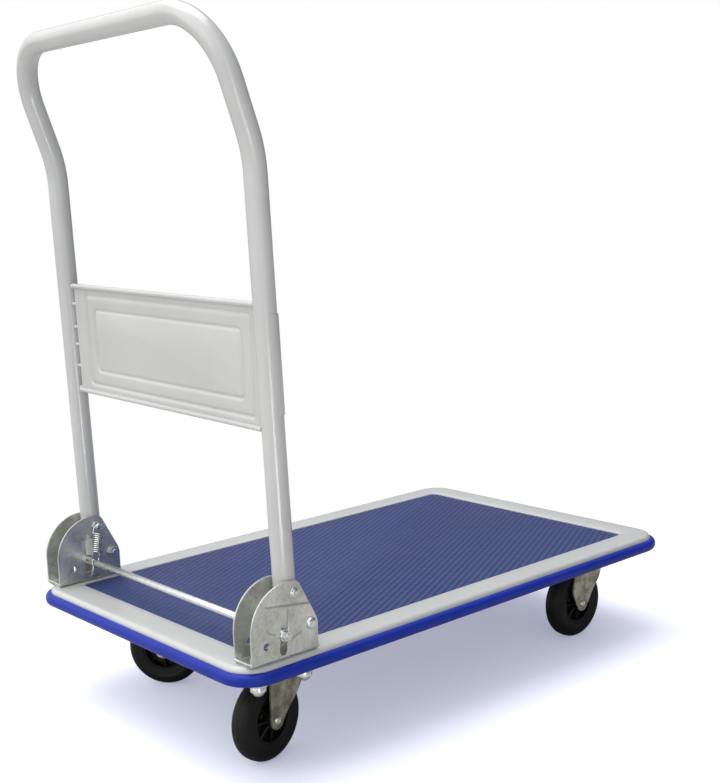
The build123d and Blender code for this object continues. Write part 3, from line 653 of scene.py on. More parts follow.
def bumper():
    high, low, out = BUMPER_HIGH.z, BUMPER_LOW.z, BUMPER_OUT
    lip = DECK_SHEET + BUMPER_LIP
    clear = 0.05 * MM
    outline = [(clear, DECK_LOW.z - clear), (clear, high), (2.2 * MM, high)]
    for c, s in sweep(0, pi / 2, 8)[1:]:
        outline.append((out - BUMPER_ROUND * (1 - s), high - BUMPER_ROUND * (1 - c)))
    for c, s in sweep(0, pi / 2, 8):
        outline.append((out - BUMPER_ROUND * (1 - c), low + BUMPER_ROUND * (1 - s)))
    outline += [(-lip + 0.4 * MM, low), (-lip, low + 0.4 * MM), (-lip, DECK_LOW.z + 6 * MM)]
    outline += [(-DECK_SHEET - clear, DECK_LOW.z + 6 * MM), (-DECK_SHEET - clear, DECK_LOW.z - clear)]
    rings = [deck_ring(-outwards, z) for outwards, z in outline]
    return stand_for(new_piece("bumper_strip", loft(rings, closed=True), 50), "edge_bumper")


def across_outline(outline, point, direction):
    """Where a line enters and leaves a convex outline, as distances along it."""
    hits = []
    for start, end in zip(outline, outline[1:] + outline[:1]):
        edge = end - start
        cross = direction.x * edge.y - direction.y * edge.x
        if abs(cross) < 1e-12:
            continue
        gap = start - point
        share = (gap.x * direction.y - gap.y * direction.x) / cross
        if 0 <= share <= 1:
            hits.append((gap.x * edge.y - gap.y * edge.x) / cross)
    return (min(hits), max(hits)) if len(hits) >= 2 else None


def mat_rib(outline, offset, base, top):
    """One raised rib of the mat: a long low ridge that ends at the mat's margin."""
    along = Vector((cos(RIB_ANGLE), sin(RIB_ANGLE), 0))
    across = Vector((-sin(RIB_ANGLE), cos(RIB_ANGLE), 0))
    spans = []
    for share in RIB_STEPS:
        point = across * (offset + share * RIB_WIDTH)
        hits = across_outline(outline, point, along)
        if hits is None or hits[1] - hits[0] < RIB_SHORTEST:
            return None
        crown = 1 - (2 * share) ** 4
        taper = along * crown * RIB_HEIGHT * 2
        lift = point + Vector((0, 0, base + (top - base) * crown))
        spans.append((lift + along * hits[0] + taper, lift + along * hits[1] - taper))
    return loft([[start for start, _ in spans], [end for _, end in spans]])


def mat():
    """The mat: a thin slab with a raised border, and its slanting ribs."""
    top, bottom = MAT_HIGH.z, MAT_LOW.z
    base = top - RIB_HEIGHT

    def ring(inset, z):
        return rounded_ring(MAT_HIGH.x - inset, MAT_HIGH.y - inset, MAT_CORNER - inset, z)

    rings = [ring(0, bottom + 0.02 * MM)]
    rings += [ring(inset * MM, top - drop * MM - 0.1 * MM) for inset, drop in MAT_BORDER]
    rings.append(ring(MAT_MARGIN, base))
    parts = [loft(rings)]
    count = ceil(hypot(MAT_HIGH.x, MAT_HIGH.y) / RIB_PITCH)
    for index in range(-count, count + 1):
        rib = mat_rib(ring(MAT_MARGIN, 0), index * RIB_PITCH, base - 0.08 * MM, top - 0.02 * MM)
        if rib:
            parts.append(rib)
    return stand_for(new_piece("ribbed_mat", joined(parts), 50), "deck_mat")


# ---- handle


def handle_line():
    """The handle's centreline from its left foot to its right foot."""
    steep = RAKE + ELBOW_ANGLE
    bend = ELBOW_RADIUS * tan(ELBOW_ANGLE / 2)
    elbow = Vector((PIVOT.x - (ELBOW_Z - PIVOT.z) * tan(RAKE), TUBE_Y, ELBOW_Z))
    slope = Vector((-sin(steep), 0, cos(steep)))
    centre = elbow - HANDLE_UP * bend - HANDLE_FRONT * ELBOW_RADIUS
    line = [centre + Vector((c, 0, s)) * ELBOW_RADIUS for c, s in sweep(RAKE, steep, 12)]
    corner = line[-1] + slope * (ARCH_LENGTH - ARCH_CORNER)
    hub = corner - Vector((0, ARCH_CORNER, 0))
    line += [hub + (Vector((0, c, 0)) + slope * s) * ARCH_CORNER for c, s in sweep(0, pi / 2, 24)]
    return line + [Vector((p.x, -p.y, p.z)) for p in line[::-1]]


def foot_rings(side):
    """The open lower end of a handle leg: its wall from inside out, cut round about the pivot."""
    pivot = Vector((PIVOT.x, side * TUBE_Y, PIVOT.z))
    inner, edge = TUBE_RADIUS - TUBE_WALL, 0.3 * MM
    wall = [(inner, 30 * MM), (inner, 0.2 * MM), (inner + edge, 0), (TUBE_RADIUS - edge, 0)]
    wall += [(TUBE_RADIUS, 0.2 * MM), (TUBE_RADIUS, 8 * MM)]
    rings = []
    for radius, rise in wall:
        ring = []
        for c, s in circle(HANDLE_SIDES):
            drop = sqrt(FOOT_REACH ** 2 - (radius * c) ** 2)
            up = HANDLE_UP * (rise - drop)
            ring.append(pivot + HANDLE_FRONT * radius * c + Vector((0, radius * s, 0)) + up)
        rings.append(ring)
    return rings


def handle():
    """The bent tube, swept with its section square to the line."""
    line = handle_line()
    last = len(line) - 1
    ends = {0: HANDLE_UP, last: -HANDLE_UP}
    rings = foot_rings(1)
    for index, point in enumerate(line):
        tangent = ends.get(index) or tangent_at(line, index)
        steep = min(index, last - index, 12) / 12 * ELBOW_ANGLE + RAKE
        forward = Vector((cos(steep), 0, sin(steep)))
        sideways = forward.cross(tangent).normalized()
        rings.append([point + (forward * c - sideways * s) * TUBE_RADIUS for c, s in circle(HANDLE_SIDES)])
    rings += [[ring[-step] for step in range(HANDLE_SIDES)] for ring in foot_rings(-1)[::-1]]
    return stand_for(new_piece("handle_bar", loft(rings), 40), "handle_tube")


def panel_matrix():
    """The panel's own frame: X across the cart, Y up the handle, Z rearwards, centred between the tubes."""
    middle_z = (PANEL_BOTTOM + PANEL_TOP) / 2
    middle_x = PIVOT.x - (middle_z - PIVOT.z) * tan(RAKE)
    across = HANDLE_FRONT.cross(HANDLE_UP)
    matrix = Matrix((across, HANDLE_UP, -HANDLE_FRONT)).transposed().to_4x4()
    matrix.translation = Vector((middle_x, 0, middle_z))
    return matrix


def groove_rings(half_x, half_y, corner, surface):
    """A pressed groove round a rounded rectangle, from its outer lip to its inner lip."""
    rings = []
    for step, (c, _) in enumerate(sweep(0, 2 * pi, 8)):
        inset = GROOVE_WIDTH * (step / 8 - 0.5)
        depth = GROOVE_DEPTH * (1 - c) / 2
        radius = max(corner - inset, 0.5 * MM)
        rings.append(rounded_ring(half_x - inset, half_y - inset, radius, surface - depth, 6))
    return rings


def shifted(rings, x):
    return [[point + Vector((x, 0, 0)) for point in ring] for ring in rings]


def panel_sheet(half_y):
    """The pressed face with its two nested frames."""
    half_x = (PANEL_LEFT + PANEL_RIGHT) / 2
    rings = shifted([rounded_ring(half_x, half_y, 0.5 * MM, PANEL_BACK, 6)], PANEL_RIGHT - half_x)
    rings += shifted(groove_rings(*OUTER_FRAME, PANEL_BACK), FRAME_OFFSET)
    rings += shifted(groove_rings(*INNER_FRAME, PANEL_BACK - 0.5 * MM), FRAME_OFFSET)
    back = [[point - Vector((0, 0, PANEL_SHEET)) for point in ring] for ring in rings]
    return loft(rings[::-1] + back)


def panel_bead(height, sign):
    """A rolled edge: the sheet curls back on itself into a small tube with an open seam."""
    centre = Vector((0, sign * (height - PANEL_BEAD), PANEL_BACK + PANEL_BEAD - PANEL_SHEET))
    turn = sweep(radians(-90), radians(215), 22)
    inner = PANEL_BEAD - PANEL_SHEET * 0.8
    profile = [centre + Vector((0, sign * c, s)) * PANEL_BEAD for c, s in turn]
    profile += [centre + Vector((0, sign * c, s)) * inner for c, s in turn[::-1]]
    stations = (-PANEL_LEFT, -PANEL_LEFT + 0.4 * MM, BEAD_RIGHT - 0.4 * MM, BEAD_RIGHT)
    return loft([shifted([profile], x)[0] for x in stations])


def flange(sign, low, high):
    """The tab at one end of the panel, wrapped round the front of its tube."""
    wrap = sweep(radians(-200), radians(19.5), 24)
    outer, inner = TUBE_RADIUS + PANEL_SHEET, TUBE_RADIUS + 0.02 * MM
    rings = []
    for height in (low, low + 0.5 * MM, high - 0.5 * MM, high):
        tuck = 0.3 * MM if height in (low, high) else 0
        faces = [(outer - tuck, c, s) for c, s in wrap] + [(inner, c, s) for c, s in wrap[::-1]]
        rings.append([Vector((sign * (TUBE_Y - r * c), height, r * s)) for r, c, s in faces])
    return loft(rings)


def weld_tack(x, y, z, half):
    """A small flattened bead of weld, with its half sizes in mm."""
    half_x, half_y, half_z = (size * MM for size in half)
    rings = []
    for rise, wide in sweep(0, pi, 8)[1:-1]:
        centre = Vector((x, y - half_y * rise, z))
        rings.append([centre + wide * Vector((half_x * c, 0, half_z * s)) for c, s in circle(14)])
    return loft(rings)


def panel():
    """The panel: its sheet, rolled edges and weld tacks, tilted, and the two upright tabs."""
    half_y = (PANEL_TOP - PANEL_BOTTOM) / 2
    parts = [panel_sheet(half_y - PANEL_BEAD), panel_bead(half_y, 1), panel_bead(half_y, -1)]
    tube_edge = TUBE_Y - sqrt(TUBE_RADIUS ** 2 - PANEL_BACK ** 2)
    gap = (PANEL_LEFT + tube_edge) / 2
    for share in LEFT_TACKS:
        parts.append(weld_tack(-gap, share * half_y, PANEL_BACK - 0.8 * MM, (6.4, 2.2, 1.4)))
    for share in RIGHT_TACKS:
        parts.append(weld_tack(PANEL_RIGHT, share * half_y, PANEL_BACK, (1.9, 3.6, 1.5)))
    tilted = placed(joined(parts), Matrix.Rotation(PANEL_TILT, 4, "Z"))
    middle_z = (PANEL_BOTTOM + PANEL_TOP) / 2
    low, high = FLANGE_RISE[0] - middle_z, FLANGE_RISE[1] - middle_z
    flanges = [flange(sign, low, high) for _, sign in SIDES]
    shape = placed(joined([tilted, *flanges]), panel_matrix())
    return stand_for(new_piece("pressed_panel", shape, 50), "handle_panel")


# ---- brackets


def bracket_section(along):
    """A point of a bracket's U-shaped section and its outward normal, by the distance from its middle."""
    sign = 1 if along >= 0 else -1
    reach = abs(along)
    flat = BRACKET_HALF - BRACKET_BEND
    bend = BRACKET_BEND * pi / 2
    web = BRACKET_LOW.z + BRACKET_SHEET / 2
    if reach <= flat:
        return along, web, Vector((0, 0, -1))
    if reach <= flat + bend:
        angle = (reach - flat) / BRACKET_BEND
        normal = Vector((0, sign * sin(angle), -cos(angle)))
        y = sign * (flat + BRACKET_BEND * sin(angle))
        return y, web + BRACKET_BEND * (1 - cos(angle)), normal
    return sign * BRACKET_HALF, web + BRACKET_BEND + reach - flat - bend, Vector((0, sign, 0))


def along_section(z):
    """The distance from the middle of a bracket's section to a height on its cheek."""
    web = BRACKET_LOW.z + BRACKET_SHEET / 2
    return BRACKET_HALF - BRACKET_BEND + BRACKET_BEND * pi / 2 + z - web - BRACKET_BEND


def cheek_edge():
    """The edge of a cheek as (x, z), from its rear foot over the top to its front foot."""
    rear, front, top = BRACKET_LOW.x, BRACKET_HIGH.x, BRACKET_HIGH.z
    centre_x, centre_z = rear + BACK_RADIUS, top - BACK_RADIUS
    foot = BRACKET_LOW.z + BRACKET_SHEET / 2 + BRACKET_BEND
    edge = [(rear, foot + (centre_z - foot) * step / 12) for step in range(12)]
    edge += [(centre_x + BACK_RADIUS * c, centre_z + BACK_RADIUS * s) for c, s in sweep(pi, pi / 2, 24)]
    crown = (PIVOT.x + CROWN[0], top + CROWN[1])
    corners = [edge[-1], crown, (front - 1.5 * MM, SHOULDER_Z), (front, SHOULDER_Z - 6 * MM), (front, foot)]
    rest = softened(corners, 5 * MM, 4)
    for (x1, z1), (x2, z2) in zip(rest, rest[1:]):
        count = max(1, round(hypot(x2 - x1, z2 - z1) / (2 * SHEET_PITCH)))
        for step in range(1, count + 1):
            share = step / count
            edge.append((x1 + (x2 - x1) * share, z1 + (z2 - z1) * share))
    return edge


def slot_outline():
    """The slanted slot of the lock rod, as (x, z) points."""
    lean = atan2(SLOT_TOP[1] - SLOT_BOTTOM[1], SLOT_TOP[0] - SLOT_BOTTOM[0])
    outline = []
    for (x, z), start in ((SLOT_TOP, lean - pi / 2), (SLOT_BOTTOM, lean + pi / 2)):
        half = SLOT_WIDTH / 2
        outline += [(x + half * c, z + half * s) for c, s in sweep(start, start + pi, 12)]
    return outline


def round_hole(centre, radius):
    return [(centre[0] + radius * c, centre[1] + radius * s) for c, s in circle(24)]


def crease(x, z, start, end, width, depth):
    """Depth of a soft pressed fold line at a point."""
    line = Vector((end[0] - start[0], end[1] - start[1]))
    gap = Vector((x - start[0], z - start[1]))
    share = min(max(gap.dot(line) / line.length_squared, 0), 1)
    distance = (gap - line * share).length
    return depth * max(0, 1 - (distance / width) ** 2) ** 2


def cheek_relief(x, z):
    """How far an outer cheek stands proud: folds over the stop and at the rod, and raised bosses."""
    x, z = (x - PIVOT.x) / MM, (z - PIVOT.z) / MM
    relief = -sum(crease(x, z, *fold) for fold in CREASES)
    boss_x, boss_z, reach, rise = STOP_BOSS
    relief += rise * max(0, 1 - (hypot(x - boss_x, z - boss_z) / reach) ** 2)
    high, low, rise = SLOT_SWELL
    if low < z < high:
        relief += rise * sin(pi * (high - z) / (high - low)) ** 2
    return relief * MM


def bracket_pattern():
    """The flat pattern of a bracket: its outline and holes as loops of (x, along) points."""
    edge = [(x, along_section(z)) for x, z in cheek_edge()]
    loops = [edge + [(x, -along) for x, along in edge[::-1]]]
    for hole in (slot_outline(), round_hole(INSPECTION, INSPECTION_RADIUS)):
        for sign in (1, -1):
            loops.append([(x, sign * along_section(z)) for x, z in hole])
    return loops


def inside(loop, x, y):
    """Whether a point is inside a closed loop."""
    hit = False
    for (x1, y1), (x2, y2) in zip(loop, loop[1:] + loop[:1]):
        if (y1 > y) != (y2 > y) and x < (x2 - x1) * (y - y1) / (y2 - y1) + x1:
            hit = not hit
    return hit


def near_loop(loop, x, y):
    """Whether a point is close to any side of a loop."""
    for (x1, y1), (x2, y2) in zip(loop, loop[1:] + loop[:1]):
        run, rise = x2 - x1, y2 - y1
        share = ((x - x1) * run + (y - y1) * rise) / max(run * run + rise * rise, 1e-15)
        share = min(max(share, 0), 1)
        if hypot(x1 + share * run - x, y1 + share * rise - y) < SHEET_MARGIN:
            return True
    return False


def filled_pattern(loops, rows, columns):
    """Triangles that fill an outline with holes, with inner points on a grid."""
    points, outlines = [], []
    for loop in loops:
        outlines.append(list(range(len(points), len(points) + len(loop))))
        points += [Vector(point) for point in loop]
    stagger = (columns[1] - columns[0]) / 4
    for order, y in enumerate(rows):
        for column in columns:
            x = column + (stagger if order % 2 else -stagger)
            if not inside(loops[0], x, y) or any(inside(hole, x, y) for hole in loops[1:]):
                continue
            if not any(near_loop(loop, x, y) for loop in loops):
                points.append(Vector((x, y)))
    result = delaunay_2d_cdt(points, [], outlines, 2, 1e-7)
    return result[0], result[2]


def bracket(name, side):
    """A U bracket: its flat pattern, bent up, with the pressed folds on its outer cheek."""
    flat = BRACKET_HALF - BRACKET_BEND
    cheek = flat + BRACKET_BEND * pi / 2
    height = along_section(BRACKET_HIGH.z) - cheek
    rows = [0.0, flat * 0.5, flat]
    rows += [flat + (cheek - flat) * step / 6 for step in range(1, 7)]
    rows += [cheek + SHEET_PITCH * step for step in range(1, int(height / SHEET_PITCH) + 1)]
    rows = sorted(set(rows + [-row for row in rows]))
    across = int((BRACKET_HIGH.x - BRACKET_LOW.x) / SHEET_PITCH)
    columns = [BRACKET_LOW.x + SHEET_PITCH * (step + 0.5) for step in range(across)]
    points, faces = filled_pattern(bracket_pattern(), rows, columns)
    shaped = []
    for x, along in points:
        y, z, normal = bracket_section(along)
        point = Vector((x, y, z))
        if along * side > cheek:
            point += normal * cheek_relief(x, z)
        shaped.append(point + Vector((0, side * TUBE_Y, 0)))
    shape = (shaped, [list(face) for face in faces])
    piece = sheet_piece("bracket_shell_" + name, shape, BRACKET_SHEET, 0.4 * MM)
    return stand_for(piece, "handle_bracket_" + name)


def cross_fastener(name, node, centre, profile):
    """A turned fastener along Y at (x, z), and its mirror image on the other side of the cart."""
    place = Matrix.Translation(Vector((centre[0], 0, centre[1])))
    shape = lathe(profile, 40)
    parts = [placed(shape, place @ Matrix.Diagonal((1, side, 1, 1))) for _, side in SIDES]
    return stand_for(new_piece(name, joined(parts), 40), node)


def pivot_bolts():
    """Shouldered pivot bolts with a small domed, upset end outside."""
    head = TUBE_Y + BRACKET_HALF + BRACKET_SHEET / 2
    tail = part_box("pivot_bolts")[1].y
    outline = from_mm(((0, 0.2), (0, 3.0), (1, 4)), SPRING_TOP_Y - 1.5 * MM)
    outline += from_mm(((0, 4), (0, 5.5), (0.9, 5.5), (1.6, 4.6), (1.7, 3.6)), head)
    outline += from_mm(((-0.5, 3.2), (0, 2.2), (0, 1.2), (-0.7, 0.8), (-0.8, 0.1)), tail)
    profile = softened(outline, 0.5 * MM, 3)
    return cross_fastener("pivot_pins", "pivot_bolts", (PIVOT.x, PIVOT.z), profile)


def stop_bolts():
    """Stop bolts with a large low dome outside."""
    low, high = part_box("stop_bolts")
    face = BRACKET_HALF + BRACKET_SHEET / 2
    radius = (high.z - low.z) / 2
    outline = from_mm(((0, 0.2), (0, 3.4), (0.7, 4)), TUBE_Y - face - 6.3 * MM)
    outline += from_mm(((0, 4), (0, radius / MM), (1.1, radius / MM)), TUBE_Y + face + 0.2 * MM)
    outline += [(high.y - 0.9 * MM, radius * 0.86), (high.y - 0.15 * MM, radius * 0.5), (high.y, 0.2 * MM)]
    profile = softened(outline, 1.2 * MM, 5)
    place = ((low.x + high.x) / 2, (low.z + high.z) / 2)
    return cross_fastener("stop_pins", "stop_bolts", place, profile)


def dome_nuts():
    """Domed nuts on wide washers, under the deck where the brackets are bolted through."""
    low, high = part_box("bracket_nuts")
    washer = 11.4 * MM
    xs = (low.x + washer, high.x - washer)
    ys = (low.y + washer, high.y - washer)
    seat = high.z - 1.5 * MM
    tip = seat - 7.5 * MM
    outline = [(high.z, 5.2 * MM), (high.z, washer), (seat, washer)]
    outline += from_mm(((0, 8.6), (-0.6, 9.0)), seat) + from_mm(((1.0, 9.0), (0, 7.2)), tip)
    outline += [(tip - (tip - low.z) * s, 0.2 * MM + 6.6 * MM * c) for c, s in sweep(0, pi / 2, 6)[1:]]
    shape = placed(lathe(outline, 36), Matrix.Rotation(pi / 2, 4, "X"))
    parts = [moved(shape, Vector((x, y, 0))) for x in xs for y in ys]
    return stand_for(new_piece("domed_nuts", joined(parts), 35), "bracket_nuts")


def axle_rivets(node, places):
    """The low, dished heads of the axle bolts, and the shanks behind them."""
    outline = [(21.0, 0.2), (21.0, 3.6), (20.4, 4.0), (-18.5, 4.0), (-18.5, 4.9), (-19.2, 4.8), (-20.1, 4.0)]
    outline += [(-20.5, 3.0), (-20.4, 2.2), (-19.5, 1.6), (-19.4, 0.2)]
    shape = lathe(from_mm(outline), 32)
    parts = [placed(shape, place) for place in places]
    return stand_for(new_piece(node + "_turned", joined(parts), 40), node)


# ---- lock rod and springs


def lock_rod():
    """The rod, with a chamfered shoulder and a threaded end on each side."""
    end = ROD_HIGH.y
    half = [(0, ROD_RADIUS), (ROD_SHOULDER - 0.6 * MM, ROD_RADIUS)]
    half += from_mm(((0, 4.0), (0, 2.9)), ROD_SHOULDER)
    thread = ROD_SHOULDER + 0.5 * MM
    while thread < end - 1.2 * MM:
        half += from_mm(((0, 2.65), (0.4, 3.0), (0.5, 3.0)), thread)
        thread += 0.9 * MM
    half += from_mm(((-0.6, 2.8), (0, 2.2), (0, 0.3)), end)
    shape = moved(lathe(mirrored(half), 36), (ROD_LOW + ROD_HIGH) / 2)
    return stand_for(new_piece("lock_bar_rod", shape, 40), "lock_rod")


def hook(centre, radius, start, end, near, far):
    """An arc of wire about a centre, in the plane of two directions."""
    return [centre + (near * c + far * s) * radius for c, s in sweep(start, end, 24)]


def spring(name, side):
    """A tension spring hung on the pivot bolt, hooked round the lock rod, with a long tail."""
    rod = (ROD_LOW + ROD_HIGH) / 2
    bottom = Vector((rod.x, side * SPRING_FOOT_Y, rod.z))
    top = Vector((PIVOT.x, side * SPRING_TOP_Y, PIVOT.z))
    axis = (top - bottom).normalized()
    across = Vector((axis.z, 0, -axis.x)).normalized()
    inward = axis.cross(across) * -side
    coil_low, coil_high = COIL_ENDS[0], (top - bottom).length - COIL_ENDS[1]
    upper = hook(top, PIN_RADIUS + SPRING_WIRE, radians(210), radians(-62), -axis, across)
    steps = SPRING_TURNS * 20
    turns = sweep(-pi / 2, 2 * pi * SPRING_TURNS + pi / 2, steps)
    coil = []
    for step, (c, s) in enumerate(turns):
        height = coil_high + (coil_low - coil_high) * step / steps
        coil.append(bottom + axis * height + (across * s + inward * c) * SPRING_RADIUS)
    loop = hook(bottom, ROD_RADIUS + SPRING_WIRE, radians(62), radians(330), axis, across)
    tail = [loop[-1] + Vector((-0.4 * MM * step, 0.0, -2.2 * MM * step)) for step in range(1, 8)]
    points = eased(upper, coil, loop) + tail
    piece = new_piece("lock_spring_" + name, tube(points, SPRING_WIRE, 10), 60)
    node = "spring_" + name
    piece.data.materials.append(MATERIALS[SLOT_OF[node]])
    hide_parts(node)
    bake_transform(piece)
    return piece


def eased(*runs):
    """Several runs of points as one, with a short curve between each run and the next."""
    points = list(runs[0])
    for run in runs[1:]:
        before, start = points[-1], run[0]
        reach = (start - before).length * 0.5
        first = before + (points[-1] - points[-2]).normalized() * reach
        second = start - (run[1] - run[0]).normalized() * reach
        for step in range(1, 6):
            t = step / 6
            point = before * (1 - t) ** 3 + first * 3 * t * (1 - t) ** 2
            points.append(point + second * 3 * t * t * (1 - t) + start * t ** 3)
        points += run
    return points


# ---- casters


def wheel_matrix(name):
    """Turns a wheel built about the Y axis onto its axle."""
    joint = JOINTS["wheel_" + name]
    axis = Vector(joint["axis"])
    turn = Matrix.Rotation(atan2(-axis.x, axis.y), 4, "Z")
    return Matrix.Translation(Vector(joint["pos_m"])) @ turn


def tyre(name):
    """A solid tyre: crowned tread with a parting line, round shoulders and a stepped side wall."""
    profile = [(0, WHEEL_RADIUS), (0.3 * MM, WHEEL_RADIUS), (0.5 * MM, WHEEL_RADIUS - 0.15 * MM)]
    centre_y, centre_r = TYRE_HALF - TYRE_SHOULDER, WHEEL_RADIUS - TYRE_SHOULDER - 0.1 * MM
    for c, s in sweep(0, radians(88), 12)[2:]:
        profile.append((centre_y + TYRE_SHOULDER * s, centre_r + TYRE_SHOULDER * c))
    profile += from_mm(((12.9, 36.8), (12.3, 36.0), (12.2, 35.0), (12.0, 30.6), (11.4, 29.2)))
    profile.append((10.6 * MM, HUB_RADIUS))
    profile = profile[::-1] + [(-y, r) for y, r in profile[1:]]
    shape = placed(lathe(profile, 96, closed=True), wheel_matrix(name))
    return stand_for(new_piece("solid_tyre_" + name, shape, 35), "tyre_" + name)


def spoke(turn, side):
    """One spoke on one face of a hub: a rib that tapers from the boss to the rim."""
    rings = []
    for radius, height, full in SPOKE_STATIONS:
        slim = full * 0.75
        half = ((full, SPOKE_BASE / MM), (slim, height - 0.5), (slim * 0.6, height))
        ring = [(-width, rise) for width, rise in half] + list(half[::-1])
        rings.append([Vector((radius, side * rise, width)) * MM for width, rise in ring])
    return placed(loft(rings), Matrix.Rotation(turn, 4, "Y"))


def hub(name):
    """A moulded hub: boss, web, spokes on both faces and a lipped rim."""
    rim = HUB_RADIUS / MM
    side = [(15.5, BORE / MM + 0.6), (15.5, 9.0), (15.1, 9.6), (3.0, 10.4), (2.2, 11.2), (2.2, 24.2)]
    side += [(3.0, 25.0), (10.2, 25.9), (11.0, 26.4), (11.1, 27.8), (10.6, rim), (9.6, rim - 0.05)]
    half = [(BOSS_HALF - 0.6 * MM, BORE)] + from_mm(side)
    parts = [lathe(half + [(-y, r) for y, r in half[::-1]], 80, closed=True)]
    for index in range(SPOKES):
        for face in (1, -1):
            parts.append(spoke(2 * pi * index / SPOKES, face))
    shape = placed(joined(parts), wheel_matrix(name))
    return stand_for(new_piece("moulded_hub_" + name, shape, 35), "hub_" + name)


def through(points, z):
    """A smooth x for a height, through (z, x) points in rising order."""
    if z <= points[0][0]:
        return points[0][1]
    for index in range(len(points) - 1):
        (z0, x0), (z1, x1) = points[index], points[index + 1]
        if z <= z1:
            before = points[max(index - 1, 0)]
            after = points[min(index + 2, len(points) - 1)]
            start = (x1 - before[1]) / (z1 - before[0]) * (z1 - z0)
            end = (after[1] - x0) / (after[0] - z0) * (z1 - z0)
            t = (z - z0) / (z1 - z0)
            bend = (2 * t**3 - 3 * t**2 + 1) * x0 + (t**3 - 2 * t**2 + t) * start
            return bend + (-2 * t**3 + 3 * t**2) * x1 + (t**3 - t**2) * end
    return points[-1][1]


def leg_span(z, axle_x, rear, front):
    """The rear and front edge of a fork leg at a height; its end is round about the axle."""
    rise = z - WHEEL_RADIUS
    low = through(rear, z)
    high = through(front, z)
    if rise < 0:
        half = sqrt(max(AXLE_END**2 - rise**2, 0))
        low = max(low, axle_x - half) if low > axle_x - AXLE_END else axle_x - half
        high = min(high, axle_x + half) if rise > -0.6 * AXLE_END else axle_x + half
    return low, high


def strip(stations, columns=10):
    """A sheet from (y, z, low x, high x) stations."""
    points, faces = [], []
    for y, z, low, high in stations:
        points += [Vector((low + (high - low) * step / columns, y, z)) for step in range(columns + 1)]
    row = columns + 1
    for index in range(len(stations) - 1):
        for step in range(columns):
            near = index * row + step
            faces.append([near, near + 1, near + row + 1, near + row])
    return points, faces


def leg_heights(top):
    """Heights down a leg, close together round its end."""
    heights = [WHEEL_RADIUS - AXLE_END * c * 0.998 for c, _ in sweep(0, pi / 2, 8)]
    start = heights[-1]
    return heights + [start + (top - start) * step / 14 for step in range(1, 15)]


def swivel_fork(name):
    """A pressed swivel fork: two sloping legs bent down from a round crown."""
    kingpin = Vector(JOINTS["swivel_" + name]["pos_m"])
    back = kingpin - Vector(JOINTS["wheel_rear_" + name]["pos_m"])
    axle_x = -hypot(back.x, back.y)
    leg_top = CROWN_MIDDLE - FORK_BEND
    rear = from_mm(SWIVEL_REAR_FROM_AXLE, 0, axle_x)
    front = from_mm(SWIVEL_TOE_FROM_AXLE, 0, axle_x) + from_mm(SWIVEL_FRONT)
    stations = [(FORK_HALF, z, *leg_span(z, axle_x, rear, front)) for z in leg_heights(leg_top)]
    low, high = stations[-1][2:]
    flat = FORK_HALF - FORK_BEND
    over = [(flat + FORK_BEND * c, leg_top + FORK_BEND * s) for c, s in sweep(0, pi / 2, 6)[1:]]
    over += [(flat * (1 - step / 8), CROWN_MIDDLE) for step in range(1, 8)]
    for y, z in over:
        stations.append((y, z, low, high + (CROWN_RADIUS - high) * (1 - (y / FORK_HALF) ** 2)))
    other_leg = [(-y, *station) for y, *station in stations[::-1]]
    stations += [(0.0, CROWN_MIDDLE, low, CROWN_RADIUS)] + other_leg
    place = Matrix.Translation(kingpin) @ Matrix.Rotation(atan2(back.y, back.x), 4, "Z")
    shape = placed(strip(stations), place)
    return stand_for(sheet_piece("pressed_fork_" + name, shape, FORK_SHEET, 0.45 * MM), "swivel_fork_" + name)


def rigid_fork(name):
    """A fixed fork: two waisted legs that lean forwards under a bolted plate."""
    axle = Vector(JOINTS["wheel_front_" + name]["pos_m"])
    leg_top = PLATE_UNDER - FORK_BEND
    rear, front = from_mm(FIXED_REAR_FROM_AXLE), from_mm(FIXED_FRONT_FROM_AXLE)
    leg = [(FORK_HALF, z, *leg_span(z, 0, rear, front)) for z in leg_heights(leg_top)]
    edges = leg[-1][2:]
    for c, s in sweep(0, pi / 2, 6)[1:-1]:
        leg.append((FORK_HALF + FORK_BEND * (1 - c), leg_top + FORK_BEND * s, *edges))
    parts = [strip([(sign * y, *station) for y, *station in leg]) for sign in (1, -1)]
    shape = moved(joined(parts), Vector((axle.x, axle.y, 0)))
    piece = sheet_piece("fixed_fork_legs_" + name, shape, FORK_SHEET, 0.45 * MM)
    stand_for(piece, "rigid_fork_" + name)
    plate = mounting_plate("fixed_caster_plate_" + name, axle.x + 13 * MM, axle.y)
    plate.data.materials.append(MATERIALS["zinc_plate"])
    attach(plate, "platform")
    return piece


def mounting_plate(name, x, y, extra=()):
    """A caster plate with rounded corners and broken edges."""
    rings = []
    for inset, z in ((0.5, 0), (0, 0.5), (0, 2.0), (0.5, 2.5)):
        half_x, half_y = PLATE_HALF[0] - inset * MM, PLATE_HALF[1] - inset * MM
        ring = rounded_ring(half_x, half_y, (6 - inset) * MM, PLATE_UNDER + z * MM, 6)
        rings.append([point + Vector((x, y, 0)) for point in ring])
    return new_piece(name, joined([loft(rings), *extra]), 40)


def swivel_plate(name):
    """A caster plate with the pressed, domed race that the balls run in."""
    kingpin = Vector(JOINTS["swivel_" + name]["pos_m"])
    outline = from_mm(((0.3, 12), (0.3, 22.5), (-1.0, 22.2), (-4.0, 21.4)), PLATE_UNDER)
    outline += from_mm(((0, 20.4), (0, 19.2), (3.2, 18.2), (4.4, 16), (4.2, 12)), CROWN_TOP + 1.2 * MM)
    race = lathe(softened(outline, 1.2 * MM, 4), 64, closed=True)
    upright = Matrix.Translation(Vector((kingpin.x, kingpin.y, 0))) @ Matrix.Rotation(pi / 2, 4, "X")
    piece = mounting_plate("swivel_caster_plate_" + name, kingpin.x, kingpin.y, [placed(race, upright)])
    return stand_for(piece, "swivel_plate_" + name)


# ---- assembly


